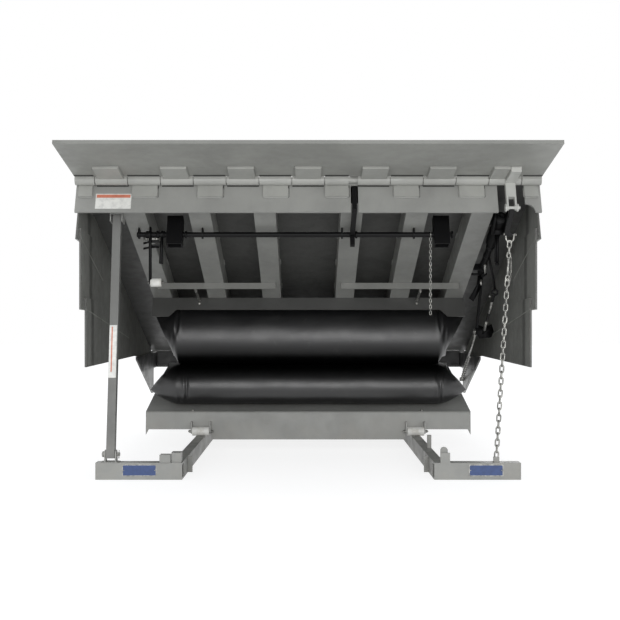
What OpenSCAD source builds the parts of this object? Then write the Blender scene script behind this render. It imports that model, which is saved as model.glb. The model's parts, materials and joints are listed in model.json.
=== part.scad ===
// Air-powered dock leveler for a loading-dock pit, standing open on its maintenance prop.
// A ramp deck hinges on a rear frame, a lip hinges on the deck's front, and an air bag between
// the deck and a sloping pan lifts both. X runs along the lip, Y from lip to rear, Z up.

/* [Deck] */
// Width of the deck and the lip
deck_w = 2134; // [1830:1:2300]
// Length of the deck from the rear hinge to the lip hinge
deck_len = 2438; // [2400:1:2480]
// Thickness of the deck plate
deck_t = 8; // [5:0.5:12]
// Slope of the deck while it stands on its prop
deck_slope = 21.2; // [20.5:0.1:22]
// Gap between the rear hinge axis and the deck plate's rear edge
deck_rear_gap = 32; // [30:1:45]
// Distance from the deck's edge in to the outermost joist
joist_in = 254.048; // [250:0.5:270]
// Width of one joist
joist_w = 102; // [80:1:120]
// Depth of one joist below the deck plate
joist_depth = 120; // [90:1:130]
// Wall of the joists
joist_wall = 6; // [4:0.5:10]
// Length over which the joists taper down to the rear hinge
joist_taper = 240; // [150:1:400]

/* [Header] */
// Thickness of the header plate
header_t = 12; // [8:0.5:20]
// Depth of the header plate below the deck plate
header_depth = 164; // [120:1:180]
// Width of the gap that the lip lever swings through
lever_gap_w = 108; // [90:1:120]
// Extra width of that gap towards the deck's edge
lever_gap_out = 16; // [0:1:24]
// Radius of the cut at the lower corner beside that gap
header_cut_r = 44; // [20:1:50]
// Width of the slot for the leg lever
leg_slot_w = 34; // [30:1:60]

/* [Lip] */
// Length of the lip from its hinge axis to its tip
lip_len = 452; // [400:1:500]
// Thickness of the lip plate
lip_t = 16; // [12:0.5:20]
// Angle of the lip below the deck's plane
lip_droop = 10.1; // [5:0.1:15]
// Outer diameter of the hinge tube
tube_d = 48; // [44:1:56]
// Diameter of the lip hinge pin
lip_pin_d = 28; // [20:1:32]
// Length of the two short end knuckles
end_knuckle = 92; // [80:1:110]
// Number of full hinge knuckles between the two short end ones
knuckle_n = 13; // [11:2:13]
// Gap between neighbouring knuckles
knuckle_gap = 4; // [2:0.5:8]
// Width of the pads that join the knuckles to the plates
pad_w = 115; // [80:1:130]
// Thickness of the pads
pad_t = 12; // [8:0.5:16]
// Drop of a deck pad below the hinge axis
deck_pad_drop = 75; // [50:1:110]
// Length of a lip pad from the hinge axis
lip_pad_len = 167; // [100:1:250]
// Clearance between the hinge tube and the plate edges
hinge_clear = 5; // [4:0.5:8]

/* [Lip lever] */
// Distance from the deck's edge to the middle of the lip lever
lever_in = 144; // [137:1:152]
// Width of the lip lever
lever_w = 45; // [36:1:50]
// Thickness of the lever bar
lever_t = 26; // [20:1:30]
// Length of the solid bar below the hinge axis
lever_bar = 92; // [70:1:100]
// Distance from the hinge axis to the clevis pin
lever_pin_at = 142; // [130:1:160]
// Thickness of each clevis plate
clevis_t = 8; // [6:0.5:12]
// Diameter of the clevis pin
clevis_pin_d = 16; // [12:1:20]
// Diameter of the clevis pin's head and washer
clevis_head_d = 36; // [24:1:40]
// Thickness of that head and washer
clevis_head_t = 7; // [4:0.5:9]

/* [Toe guards] */
// Thickness of each toe guard
guard_t = 8; // [5:0.5:10]
// Gap between nested toe guards
guard_gap = 0.3; // [0.2:0.1:0.8]
// Distance the guards' front edge stands behind the lip hinge
guard_setback = 90; // [60:1:150]
// Depth of the upper guard at its front edge
upper_guard_depth = 272; // [200:1:300]
// Length of the upper guard's steeper front stretch
upper_guard_nose = 336; // [200:1:500]
// Depth of the upper guard behind that stretch
upper_guard_knee = 174; // [120:1:200]
// Distance from the feet's front face to the middle guard's front edge
middle_guard_y = 134; // [110:1:180]
// Height of the middle guard's lower front corner
middle_guard_z = 766; // [700:1:820]
// Length of the middle guard's level lower edge
middle_guard_run = 326; // [200:1:500]
// Distance from the feet's front face to the lower guard's front edge
lower_guard_y = 212; // [190:1:260]
// Height of the lower guard's lower edge
lower_guard_z = 495; // [492:1:560]
// Length of the lower guard's level lower edge
lower_guard_run = 1383; // [1200:1:1500]
// Overlap of one guard behind the next
guard_lap = 55; // [30:1:90]

/* [Rear frame] */
// Length by which the frame is longer than the deck
frame_extra = 2; // [0:1:20]
// Height of the rear hinge axis above the floor
hinge_z = 478; // [440:1:520]
// Distance from the rear hinge axis to the frame's back
hinge_back = 71; // [65:1:90]
// Plate thickness of the rear beam
beam_t = 12; // [8:0.5:16]
// Height of the rear beam
beam_h = 113; // [100:1:130]
// Depth of the rear beam's flanges
beam_flange = 44; // [30:1:46]
// Diameter of the rear hinge pins
rear_pin_d = 25; // [20:1:28]
// Radius of the rear hinge lugs
lug_r = 22; // [19:0.5:23]
// Thickness of the frame's hinge lugs
lug_t = 12; // [8:0.5:16]
// Side play between the joists and the frame's lugs
lug_play = 2; // [1:0.5:4]
// Thickness of the side wings
wing_t = 10; // [6:0.5:14]
// Clearance between the wings and the toe guards
wing_clear = 5; // [5:0.5:10]
// Length of the rear wings along the floor
wing_reach = 850; // [750:1:950]
// Height of the wings' front edge
wing_nose = 18; // [10:1:40]
// Height of the wings' lowest corner
wing_low = 226; // [180:1:300]
// Width of the wings' foot
wing_foot = 52; // [30:1:80]
// Distance from the wings' rear edge to the frame's back
wing_back = 179; // [120:1:220]

/* [Floor frame] */
// Width of a floor rail
rail_w = 49; // [40:1:60]
// Height of the rails and the front feet
rail_h = 76; // [60:1:90]
// Wall of the rails and the rear posts
rail_wall = 5; // [3:0.5:8]
// Width of the rib on each rail's inner face
rail_rib_w = 21; // [12:1:30]
// Distance from the feet's front face to that rib
rail_rib_y = 230; // [180:1:300]
// Thickness of that rib
rail_rib_t = 8; // [5:0.5:12]
// Side of the square post on the right rail
rail_post_w = 20; // [16:1:30]
// Height of that post above the rail
rail_post_h = 64; // [40:1:80]
// Distance from the feet's front face to that post
rail_post_y = 530; // [480:1:600]
// Distance from the centre line to a rail's inner face
rail_in = 567; // [565:1:575]
// Depth of the rear posts
post_d = 75; // [50:1:90]
// Distance from the deck's edge in to a foot's outer end
foot_in = 110; // [70:1:125]
// Depth of a front foot
foot_d = 64; // [62:1:90]
// Plate thickness of the front feet
foot_t = 8; // [5:0.5:12]
// Diameter of the anchor holes in the feet
anchor_d = 18; // [14:1:22]
// Distance from a foot's ends to its anchor holes
anchor_in = 75; // [50:1:100]
// Height of the upright posts on the feet
stub_h = 45; // [30:1:80]
// Width of the upright posts
stub_w = 43; // [30:1:60]
// Distance from the left rail to the left foot's upright post
stub_left = 6; // [2:1:12]
// Distance from the right rail's inner face to the right foot's upright post
stub_right = 28; // [20:1:36]

/* [Lip keepers] */
// Width of a lip keeper
keeper_w = 50; // [30:1:70]
// Height of a lip keeper above the foot
keeper_h = 36; // [25:1:60]
// Plate thickness of a lip keeper
keeper_t = 8; // [5:0.5:8]
// Width of the right keeper's hook
hook_w = 34; // [24:1:38]
// Height of the right keeper's hook above the foot
hook_h = 67; // [50:1:80]
// Distance from an upright post to the keeper beside it
keeper_gap = 3; // [2:0.5:6]
// Gap of the keeper that holds the folded lip
keeper_slot = 30; // [22:1:34]

/* [Pan] */
// Distance from the deck's edge in to the pan's edge
pan_in = 168; // [160:1:190]
// Distance from the rear frame's back to the pan's front edge
pan_back = 1350; // [1340:1:1360]
// Height of the pan's front top edge
pan_z = 206; // [190:1:240]
// Slope of the pan
pan_slope = 12.5; // [11:0.1:13]
// Length of the pan along its slope
pan_len = 1040; // [900:1:1060]
// Plate thickness of the pan
pan_t = 8; // [5:0.5:10]
// Height of the pan's front skirt
skirt_h = 98; // [70:1:100]
// Half the width of the skirt's deep middle
skirt_mid = 530; // [480:1:545]
// Height of the deep middle's lower edge above the floor
skirt_low = 52; // [30:1:100]
// Depth of the pan's side flanges
pan_flange = 40; // [25:1:60]
// Drop of the skirt's outer corners below its shallow ends
skirt_ear = 30; // [15:1:45]
// Width of the cut between the skirt's outer corners and its shallow ends
skirt_ear_w = 16; // [10:1:30]
// Depth of the arms that carry the pan's rear edge
arm_h = 50; // [35:1:70]
// Overlap of the arms with the pan
arm_lap = 60; // [40:1:100]
// Diameter of the pan's rollers
roller_d = 48; // [40:1:60]
// Width of the pan's rollers
roller_w = 92; // [60:1:110]
// Diameter of the roller axles
axle_d = 16; // [12:1:20]
// Thickness of the roller brackets
bracket_t = 6; // [4:0.5:8]
// Radius of the roller brackets round the axles
bracket_r = 14; // [12:0.5:18]
// Overlap of the roller brackets with the pan's skirt
bracket_lap = 45; // [35:1:60]

/* [Air bag] */
// Distance from the pan's edge in to where the bag's taper starts
bag_taper = 154; // [100:1:200]
// Distance from the pan's edge in to the bag's tips
bag_tip_in = 7; // [2:1:30]
// Distance from the bag's apex to its front crease
bag_r = 960; // [900:1:1000]
// Bulge of the chambers' front
bag_bulge = 118; // [60:1:120]
// Distance from the apex to the bag's rear edge
bag_rear = 120; // [100:1:200]
// Angle of the crease between the chambers
bag_crease = 1.2; // [-2:0.1:4]
// Share of the lower chamber's height at which its pointed ends lie
tip_lower = 0.42; // [0.3:0.01:0.6]
// Share of the upper chamber's height at which its pointed ends lie
tip_upper = 0.78; // [0.5:0.01:0.85]

/* [Bag plate] */
// Distance from the pan's edge in to the upper plate's edge
plate_in = 28; // [5:1:50]
// Distance from the rear hinge to the upper bag plate's front edge
plate_front = 1256; // [1200:1:1300]
// Distance from the rear hinge to the upper bag plate's rear edge
plate_rear = 290; // [260:1:400]
// Thickness of the upper bag plate
plate_t = 6; // [4:0.5:10]
// Depth of the upper bag plate's front flange
plate_flange = 72; // [40:1:80]
// Depth of that flange at its two ends
plate_ear = 112; // [80:1:125]
// Width of the deeper ends
plate_ear_w = 96; // [60:1:110]
// Distance from the rear hinge to the cross bars
bar_y = 1475; // [1400:1:1600]
// Leg of the cross bars' angle section
bar_leg = 34; // [20:1:40]

/* [Safety legs] */
// Distance from the lip hinge back to the legs' shaft
shaft_in = 303; // [260:1:340]
// Distance of the leg shaft below the joists
shaft_drop = 28; // [26:1:40]
// Diameter of the leg shaft
shaft_d = 25; // [20:1:30]
// Thickness of the shaft's bearing plates
bearing_t = 8; // [5:0.5:12]
// Wall of those plates round the shaft
bearing_wall = 8; // [5:0.5:10]
// Distance from the second joist to the safety leg beside it
leg_off = 132; // [128:1:160]
// Width of a safety leg
leg_w = 76; // [60:1:80]
// Depth of a safety leg
leg_d = 50; // [40:1:60]
// Length of a safety leg below the shaft
leg_down = 58; // [40:1:80]
// Length of a safety leg above the shaft
leg_up = 90; // [60:1:95]
// Distance from the first joist to the leg lever
leg_lever_off = 9; // [5:1:13]
// Thickness of the leg lever
leg_lever_t = 22; // [16:1:24]
// Depth of the leg lever's upright end
leg_lever_d = 16; // [12:1:16]
// Width of the leg lever bar
leg_lever_w = 30; // [20:1:34]
// Distance from the last joist in to the trip arm
trip_in = 55; // [52:1:62]
// Thickness of the trip arm's two blades
trip_t = 8; // [5:0.5:10]
// Length of the trip arm's short blade
trip_short = 135; // [100:1:160]
// Length of the trip arm's roller
trip_roller_w = 48; // [36:1:56]
// Length of the trip arm
trip_len = 230; // [180:1:260]
// Diameter of the trip arm's roller
trip_roller_d = 40; // [30:1:50]

/* [Lip strut] */
// Distance from the deck's edge in to the strut
strut_side = 152; // [142:1:160]
// Height of the strut's axis in the deck's frame
strut_z = -90; // [-100:1:-80]
// Diameter of the strut
strut_d = 34; // [24:1:36]
// Distance from the lip hinge back to the strut's front end
strut_in = 176; // [170:1:240]
// Distance from the rear hinge to the pivot at the strut's rear end
strut_rear = 1560; // [1500:1:1620]
// Diameter of the pivot pin and the chain's anchor pin
strut_pin_d = 12; // [10:1:16]
// Width of the arm that hangs from the pivot
strut_arm_w = 44; // [36:1:50]
// Thickness of that arm
strut_arm_t = 12; // [8:1:16]
// Distance from the rear frame's back to the arm's lower end
strut_end_back = 1380; // [1340:1:1420]
// Height of the arm's lower end
strut_end_z = 650; // [640:1:680]
// Height of the chain's anchor above the wings' lowest corner
strut_up = 87; // [70:1:110]
// Diameter of the rod between the arm and the chain
strut_rod_d = 14; // [10:1:16]
// Length of that rod
strut_rod = 560; // [450:1:620]

/* [Maintenance prop] */
// Side of the square prop tube
prop_w = 38; // [32:1:45]
// Wall of the prop tube
prop_wall = 4; // [2:0.5:6]
// Distance from the deck's edge to the prop
prop_in = 174; // [167:1:182]
// Height of the prop's foot pin
prop_pin_z = 111; // [108:1:120]
// Distance from the feet's front face to the prop's foot pin
prop_pin_y = 34; // [32:1:40]
// Lean of the prop from upright
prop_lean = 8.6; // [8:0.1:10]
// Depth of the prop's seat below the deck plate
prop_seat_drop = 124; // [110:1:140]
// Diameter of the prop's foot pin
prop_pin_d = 16; // [12:1:18]
// Clearance between the prop and the plates beside it
prop_clear = 5; // [3:0.5:6]
// Radius of the prop's foot bracket round its pin
prop_lug_r = 20; // [14:1:24]
// Plate thickness of that bracket
prop_lug_t = 6; // [4:0.5:8]
// Gap between the prop and that bracket
prop_play = 2; // [1:0.5:4]
// Length by which the prop's pin stands out of that bracket
prop_pin_end = 14; // [8:1:20]
// Diameter of that pin's head
prop_head_d = 26; // [20:1:32]
// Thickness of that pin's head
prop_head_t = 10; // [6:1:14]

/* [Chains] */
// Wire diameter of the lip chain
lip_wire = 7; // [5:0.5:7.5]
// Inner length of the lip chain's links
lip_link = 28; // [26:1:32]
// Width of the lip chain's links
lip_link_w = 24; // [23:0.5:26]
// Distance from the foot's outer end in to the lip chain's tab
chain_foot_in = 106; // [90:1:120]
// Wire diameter of the pull chain
pull_wire = 3; // [2:0.5:3]
// Inner length of the pull chain's links
pull_link = 15; // [14:1:20]
// Width of the pull chain's links
pull_link_w = 13; // [12:0.5:16]
// Length of the pull chain
pull_len = 372; // [200:1:420]

/* [Hidden] */
$fn = 48;

// Radial clearance of a pin in the bore that turns on it
run = 0.05;
// Gap between a piece and the seat it rests on
seat = 0.3;
// Length by which a cutter passes its work
over = 1;

joist_n = 3;
frame_len = deck_len + frame_extra;
hinge_y = frame_len - hinge_back;
wing_front = frame_len - wing_reach;
pan_half = deck_w / 2 - pan_in;
pan_front = frame_len - pan_back;
bag_half = pan_half - bag_taper;
bag_tip = pan_half - bag_tip_in;
plate_half = pan_half - plate_in;
shaft_y = deck_len - shaft_in;
strut_x = deck_w / 2 - strut_side;
strut_front = deck_len - strut_in;
strut_end_y = frame_len - strut_end_back;
deck_top = tube_d / 2;
deck_under = deck_top - deck_t;
joist_low = deck_under - joist_depth;
header_front = tube_d / 2 + hinge_clear;
joist_pitch = (deck_w / 2 - joist_in) / (joist_n - 1 / 3);
joist_xs = [for (i = [0:joist_n - 1]) (i + 2 / 3) * joist_pitch];
knuckle_pitch = (deck_w - 2 * end_knuckle) / knuckle_n;
knuckle_xs = [for (i = [0:knuckle_n - 1]) (i - (knuckle_n - 1) / 2) * knuckle_pitch];
knuckle_len = knuckle_pitch - knuckle_gap;
lever_x = deck_w / 2 - lever_in;
prop_x = deck_w / 2 - prop_in;
foot_out = deck_w / 2 - foot_in;
chain_foot_x = foot_out - chain_foot_in;
lever_gap_edge = lever_x + lever_gap_w / 2 + lever_gap_out;
leg_x = joist_xs[1] + leg_off;
leg_lever_x = joist_xs[0] + leg_lever_off;
trip_x = joist_xs[2] - trip_in;
beam_top = hinge_z + deck_top;
beam_low = beam_top - beam_h;
beam_face = frame_len - beam_t;
wing_out = deck_w / 2 - 3 * guard_t - 2 * guard_gap - wing_clear;
wing_in = wing_out - wing_t;
rail_out = rail_in + rail_w;
shaft_z = joist_low - shaft_drop;
leg_lever_top = -lip_pin_d / 2 - hinge_clear;
roller_y = pan_front - roller_d / 2 - 4;
roller_z = rail_h + seat + roller_d / 2;
roller_x = (rail_in + rail_out) / 2;

// A point of the deck's side view, given along the deck and across it, as [Y, Z]
function deck_pt(y, z) = [
    hinge_y + y * cos(deck_slope) + z * sin(deck_slope),
    hinge_z - y * sin(deck_slope) + z * cos(deck_slope)
];
// A point of the lip's side view as [Y, Z]
lip_rise = deck_slope - lip_droop;
function lip_pt(y, z) = deck_pt(-deck_len, 0)
    + [y * cos(lip_rise) + z * sin(lip_rise), -y * sin(lip_rise) + z * cos(lip_rise)];
// A point of the bag's side view, given from its apex at an angle above the level
function bag_pt(r, a) = bag_apex + r * [-cos(a), sin(a)];
// The point where two lines cross, each given by a point and a direction
function cross_pt(p, d, q, e) =
    p + d * ((q - p)[0] * e[1] - (q - p)[1] * e[0]) / (d[0] * e[1] - d[1] * e[0]);

pan_dir = [cos(pan_slope), sin(pan_slope)];
pan_norm = [-sin(pan_slope), cos(pan_slope)];
pan_start = [pan_front, pan_z];
plate_low = joist_low - plate_t;
bag_apex = cross_pt(pan_start, pan_dir, deck_pt(-plate_front, plate_low),
    [cos(deck_slope), -sin(deck_slope)]);
prop_dir = [sin(prop_lean), cos(prop_lean)];
prop_across = [cos(prop_lean), -sin(prop_lean)];
prop_pin = [prop_pin_y, prop_pin_z];
prop_len = norm(cross_pt(prop_pin, prop_dir, deck_pt(0, deck_under),
    [cos(deck_slope), -sin(deck_slope)]) - prop_pin) - prop_seat_drop;
prop_top = prop_pin + prop_dir * (prop_len + seat);
lip_tip_y = lip_pt(-lip_len, deck_top - lip_t)[0];
// Middle of the whole leveler between the lip's tip and the frame's back
y_mid = (lip_tip_y + frame_len) / 2;

module slab(x0, x1, y0, y1, z0, z1) {
    translate([x0, y0, z0]) cube([x1 - x0, y1 - y0, z1 - z0]);
}

// A side view drawn in Y and Z, from x0 to x1
module side_plate(x0, x1) {
    translate([x0, 0, 0]) rotate([90, 0, 90]) linear_extrude(x1 - x0) children();
}

// A front view drawn in X and Z, from y0 to y1
module front_plate(y0, y1) {
    translate([0, y1, 0]) rotate([90, 0, 0]) linear_extrude(y1 - y0) children();
}

// A round bar along X
module rod_x(x0, x1, d) {
    translate([x0, 0, 0]) rotate([0, 90, 0]) cylinder(d = d, h = x1 - x0);
}

module on_deck() {
    translate([0, hinge_y, hinge_z]) rotate([-deck_slope, 0, 0]) children();
}

module on_lip_hinge() {
    on_deck() translate([0, -deck_len, 0]) children();
}

module on_lip() {
    on_lip_hinge() rotate([lip_droop, 0, 0]) children();
}

// Deck

module deck_plate() {
    color([0.54, 0.54, 0.52]) on_deck()
        slab(-deck_w / 2, deck_w / 2, header_front - deck_len, -deck_rear_gap, deck_under, deck_top);
}

module joist(x) {
    half = joist_w / 2;
    on_deck() translate([x, 0, 0]) {
        front_plate(header_front + header_t - deck_len, -joist_taper) difference() {
            translate([-half, joist_low]) square([joist_w, joist_depth]);
            translate([joist_wall - half, joist_low + joist_wall])
                square([joist_w - 2 * joist_wall, joist_depth]);
        }
        for (x0 = [-half, half - joist_wall])
            side_plate(x0, x0 + joist_wall) difference() {
                union() {
                    polygon([[-joist_taper, deck_under], [-joist_taper, joist_low],
                        [0, -lug_r], [0, deck_under]]);
                    circle(r = lug_r);
                }
                circle(d = rear_pin_d + 2 * run);
            }
    }
}

module joists_left() {
    color([0.42, 0.42, 0.41]) for (x = joist_xs) joist(-x);
}

module joists_right() {
    color([0.42, 0.42, 0.41]) for (x = joist_xs) joist(x);
}

module header_plate() {
    color([0.54, 0.54, 0.53]) on_deck() difference() {
        slab(-deck_w / 2, deck_w / 2, header_front - deck_len, header_front + header_t - deck_len,
            deck_under - header_depth, deck_under);
        slab(lever_x - lever_gap_w / 2, lever_gap_edge, -deck_len, 0,
            deck_under - header_depth - over, deck_under + over);
        translate([lever_gap_edge, 0, deck_under - header_depth]) rotate([90, 0, 0])
            cylinder(r = header_cut_r, h = deck_len);
        slab(leg_lever_x - leg_slot_w / 2, leg_lever_x + leg_slot_w / 2, -deck_len, 0,
            deck_under - header_depth - over, leg_lever_top + hinge_clear);
    }
}

// One knuckle of the lip hinge with its pad, bored for the pin
module knuckle(x, len, pad_x, pad_len) {
    difference() {
        union() {
            rod_x(x - len / 2, x + len / 2, tube_d);
            translate([pad_x - pad_len / 2, 0, 0]) children();
        }
        rod_x(x - len / 2 - over, x + len / 2 + over, lip_pin_d + 2 * run);
    }
}

module deck_pad(len) {
    slab(0, len, header_front - pad_t, header_front, -deck_pad_drop, 0);
}

module lip_pad(len) {
    slab(0, len, -lip_pad_len, 0, deck_top - lip_t - pad_t, deck_top - lip_t);
}

module deck_knuckles() {
    color([0.54, 0.54, 0.53]) on_lip_hinge() {
        for (i = [1:2:knuckle_n - 2]) {
            short = leg_lever_x + leg_slot_w / 2 > knuckle_xs[i] && knuckle_xs[i] > 0
                && knuckle_xs[i] + knuckle_pitch > leg_lever_x + leg_slot_w / 2
                ? leg_slot_w + knuckle_gap : 0;
            len = knuckle_len - short;
            x = knuckle_xs[i] - short / 2;
            knuckle(x, len, x, min(pad_w, len)) deck_pad(min(pad_w, len));
        }
        for (s = [-1, 1]) {
            len = end_knuckle - knuckle_gap / 2;
            x = s * (deck_w / 2 - len / 2);
            knuckle(x, len, x, len * 0.7) deck_pad(len * 0.7);
        }
    }
}

module lip_hinge_pin() {
    color([0.35, 0.35, 0.35]) on_lip_hinge() rod_x(-deck_w / 2, deck_w / 2, lip_pin_d);
}

// Lip

module lip_plate() {
    color([0.5, 0.5, 0.48]) on_lip()
        slab(-deck_w / 2, deck_w / 2, -lip_len, -header_front, deck_top - lip_t, deck_top);
}

module lip_knuckles() {
    lever_edge = lever_x - lever_w / 2 - 2;
    last = knuckle_xs[knuckle_n - 1];
    last_low = last - knuckle_len / 2;
    color([0.54, 0.54, 0.53]) on_lip() {
        for (i = [0:2:knuckle_n - 3])
            knuckle(knuckle_xs[i], knuckle_len, knuckle_xs[i], pad_w) lip_pad(pad_w);
        knuckle(last, knuckle_len, (last_low + lever_edge) / 2, lever_edge - last_low)
            lip_pad(lever_edge - last_low);
    }
}

module lip_lever() {
    half = lever_t / 2;
    color([0.5, 0.5, 0.48]) {
        difference() {
            union() {
                on_lip() slab(lever_x - lever_w / 2, lever_x + lever_w / 2, -lip_pad_len, 0,
                    deck_top - lip_t - lever_t, deck_top - lip_t);
                on_lip_hinge() slab(lever_x - lever_w / 2, lever_x + lever_w / 2, -half, half,
                    -lever_bar, 0);
            }
            on_lip_hinge() rod_x(lever_x - lever_w, lever_x + lever_w, tube_d + 2 * run);
        }
        on_lip_hinge() {
            for (x0 = [lever_x - lever_w / 2, lever_x + lever_w / 2 - clevis_t])
                side_plate(x0, x0 + clevis_t) difference() {
                    union() {
                        translate([-half, -lever_pin_at]) square([lever_t, lever_pin_at - lever_bar]);
                        translate([0, -lever_pin_at]) circle(r = half);
                    }
                    translate([0, -lever_pin_at]) circle(d = clevis_pin_d);
                }
            translate([lever_x, 0, -lever_pin_at]) {
                rod_x(-lever_w / 2 - clevis_t, lever_w / 2 + 2 * clevis_t, clevis_pin_d);
                rod_x(-lever_w / 2 - clevis_head_t, -lever_w / 2, clevis_head_d);
                rod_x(lever_w / 2, lever_w / 2 + clevis_head_t, clevis_head_d);
            }
        }
    }
}

// Toe guards, each a plate that nests inside the one above

upper_guard_low = deck_pt(guard_setback - deck_len, deck_under - upper_guard_depth);
upper_guard_bend = deck_pt(guard_setback + upper_guard_nose - deck_len,
    deck_under - upper_guard_knee);
guard_rear = deck_pt(-deck_rear_gap - lug_r, -deck_rear_gap);
middle_guard_bend = [middle_guard_y + middle_guard_run, middle_guard_z - 8];
lower_guard_bend = [lower_guard_y + lower_guard_run, lower_guard_z];

module upper_guard_face() {
    polygon([deck_pt(guard_setback - deck_len, deck_under), upper_guard_low, upper_guard_bend,
        guard_rear, deck_pt(-deck_rear_gap, deck_under)]);
}

module middle_guard_face() {
    polygon([[middle_guard_y, upper_guard_low[1] + guard_lap], [middle_guard_y, middle_guard_z],
        middle_guard_bend, guard_rear, guard_rear + [0, guard_lap / 2],
        upper_guard_bend + [0, guard_lap]]);
}

module lower_guard_face() {
    polygon([[lower_guard_y, middle_guard_z + guard_lap], [lower_guard_y, lower_guard_z],
        lower_guard_bend, guard_rear - [0, guard_lap / 2], guard_rear + [0, guard_lap / 2],
        middle_guard_bend + [0, guard_lap]]);
}

// One toe guard on side s, the given number of plates in from the deck's edge
module toe_guard(s, inset) {
    outer = deck_w / 2 - inset * (guard_t + guard_gap);
    x0 = s > 0 ? outer - guard_t : -outer;
    color([0.38, 0.38, 0.37]) side_plate(x0, x0 + guard_t) children();
}

module toe_guard_upper_left() { toe_guard(-1, 0) upper_guard_face(); }
module toe_guard_upper_right() { toe_guard(1, 0) upper_guard_face(); }
module toe_guard_middle_left() { toe_guard(-1, 1) middle_guard_face(); }
module toe_guard_middle_right() { toe_guard(1, 1) middle_guard_face(); }
module toe_guard_lower_left() { toe_guard(-1, 2) lower_guard_face(); }
module toe_guard_lower_right() { toe_guard(1, 2) lower_guard_face(); }

// Rear frame

module rear_beam() {
    color([0.5, 0.5, 0.49]) side_plate(-wing_in, wing_in) difference() {
        translate([frame_len - beam_flange, beam_low]) square([beam_flange, beam_h]);
        translate([frame_len - beam_flange - over, beam_low + beam_t])
            square([beam_flange - beam_t + over, beam_h - 2 * beam_t]);
    }
}

module rear_lug(x0) {
    side_plate(x0, x0 + lug_t) difference() {
        union() {
            polygon([[hinge_y, hinge_z + deck_top - beam_t], [beam_face, beam_top - beam_t],
                [beam_face, beam_low + beam_t], [frame_len - beam_flange, beam_low + beam_t],
                [hinge_y, hinge_z - lug_r]]);
            translate([hinge_y, hinge_z]) circle(r = lug_r);
        }
        translate([hinge_y, hinge_z]) circle(d = rear_pin_d + 2 * run);
    }
}

module rear_hinge_lugs() {
    out = joist_w / 2 - joist_wall - lug_play;
    color([0.45, 0.45, 0.44]) for (x = joist_xs, s = [-1, 1]) {
        rear_lug(s * x - out);
        rear_lug(s * x + out - lug_t);
    }
}

module rear_hinge_pins() {
    head = 6;
    half = joist_w / 2 + lug_play;
    color([0.35, 0.35, 0.35]) for (x = joist_xs, s = [-1, 1])
        translate([s * x, hinge_y, hinge_z]) {
            rod_x(-half, half, rear_pin_d);
            rod_x(-half - head, -half, 2 * lug_r - head);
            rod_x(half, half + head, 2 * lug_r - head);
        }
}

module rear_wing(s) {
    x0 = s > 0 ? wing_in : -wing_out;
    top = beam_top - beam_t;
    foot_y = frame_len - wing_back;
    color([0.6, 0.6, 0.59]) side_plate(x0, x0 + wing_t)
        polygon([[wing_front, top], [wing_front, top - wing_nose],
            [foot_y - wing_foot, wing_low], [foot_y, wing_low], [foot_y, beam_low],
            [frame_len, beam_low], [frame_len, top]]);
}

module rear_wing_left() { rear_wing(-1); }
module rear_wing_right() {
    rear_wing(1);
    color([0.6, 0.6, 0.59]) strut_lug();
}

// A square tube standing in the given box, open at both ends along Z
module rear_post(s) {
    x0 = s > 0 ? rail_in : -rail_out;
    color([0.5, 0.5, 0.49]) difference() {
        slab(x0, x0 + rail_w, frame_len - post_d, frame_len, rail_h, beam_low);
        slab(x0 + rail_wall, x0 + rail_w - rail_wall, frame_len - post_d + rail_wall,
            frame_len - rail_wall, rail_h - over, beam_low + over);
    }
}

module rear_post_left() { rear_post(-1); }
module rear_post_right() { rear_post(1); }

// Floor frame

module floor_rail(s) {
    x0 = s > 0 ? rail_in : -rail_out;
    color([0.56, 0.56, 0.55]) difference() {
        slab(x0, x0 + rail_w, foot_d, frame_len, 0, rail_h);
        slab(x0 + rail_wall, x0 + rail_w - rail_wall, foot_d - over, frame_len + over,
            rail_wall, rail_h - rail_wall);
    }
    rib_x = s > 0 ? rail_in - rail_rib_w : -rail_in;
    color([0.56, 0.56, 0.55])
        slab(rib_x, rib_x + rail_rib_w, rail_rib_y, rail_rib_y + rail_rib_t, 0, rail_h);
}

module floor_rail_left() { floor_rail(-1); }
module floor_rail_right() {
    floor_rail(1);
    color([0.56, 0.56, 0.55])
        slab(rail_out - rail_post_w, rail_out, rail_post_y, rail_post_y + rail_post_w,
            rail_h, rail_h + rail_post_h);
}

module front_foot(s) {
    x0 = s > 0 ? rail_in : -foot_out;
    x1 = s > 0 ? foot_out : -rail_in;
    stub_x = s > 0 ? rail_in + stub_right : -rail_in - stub_left - stub_w;
    color([0.58, 0.58, 0.57]) {
        difference() {
            side_plate(x0, x1) difference() {
                square([foot_d, rail_h]);
                translate([foot_t, foot_t]) square([foot_d, rail_h - 2 * foot_t]);
            }
            for (x = [x0 + anchor_in, x1 - anchor_in])
                translate([x, (foot_d + foot_t) / 2, -over]) cylinder(d = anchor_d, h = foot_t + 2 * over);
        }
        slab(stub_x, stub_x + stub_w, s > 0 ? 0 : foot_t, s > 0 ? foot_t : foot_d,
            rail_h, rail_h + stub_h);
    }
}

module front_foot_left() { front_foot(-1); }
module front_foot_right() {
    front_foot(1);
    color([0.58, 0.58, 0.57]) chain_tab();
}

module lip_keeper_left() {
    x0 = -rail_in - stub_left - stub_w - keeper_gap - keeper_w;
    color([0.5, 0.5, 0.49]) side_plate(x0, x0 + keeper_w) translate([0, rail_h]) difference() {
        square([keeper_slot + 2 * keeper_t, keeper_h]);
        translate([keeper_t, keeper_t]) square([keeper_slot, keeper_h]);
    }
}

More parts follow.
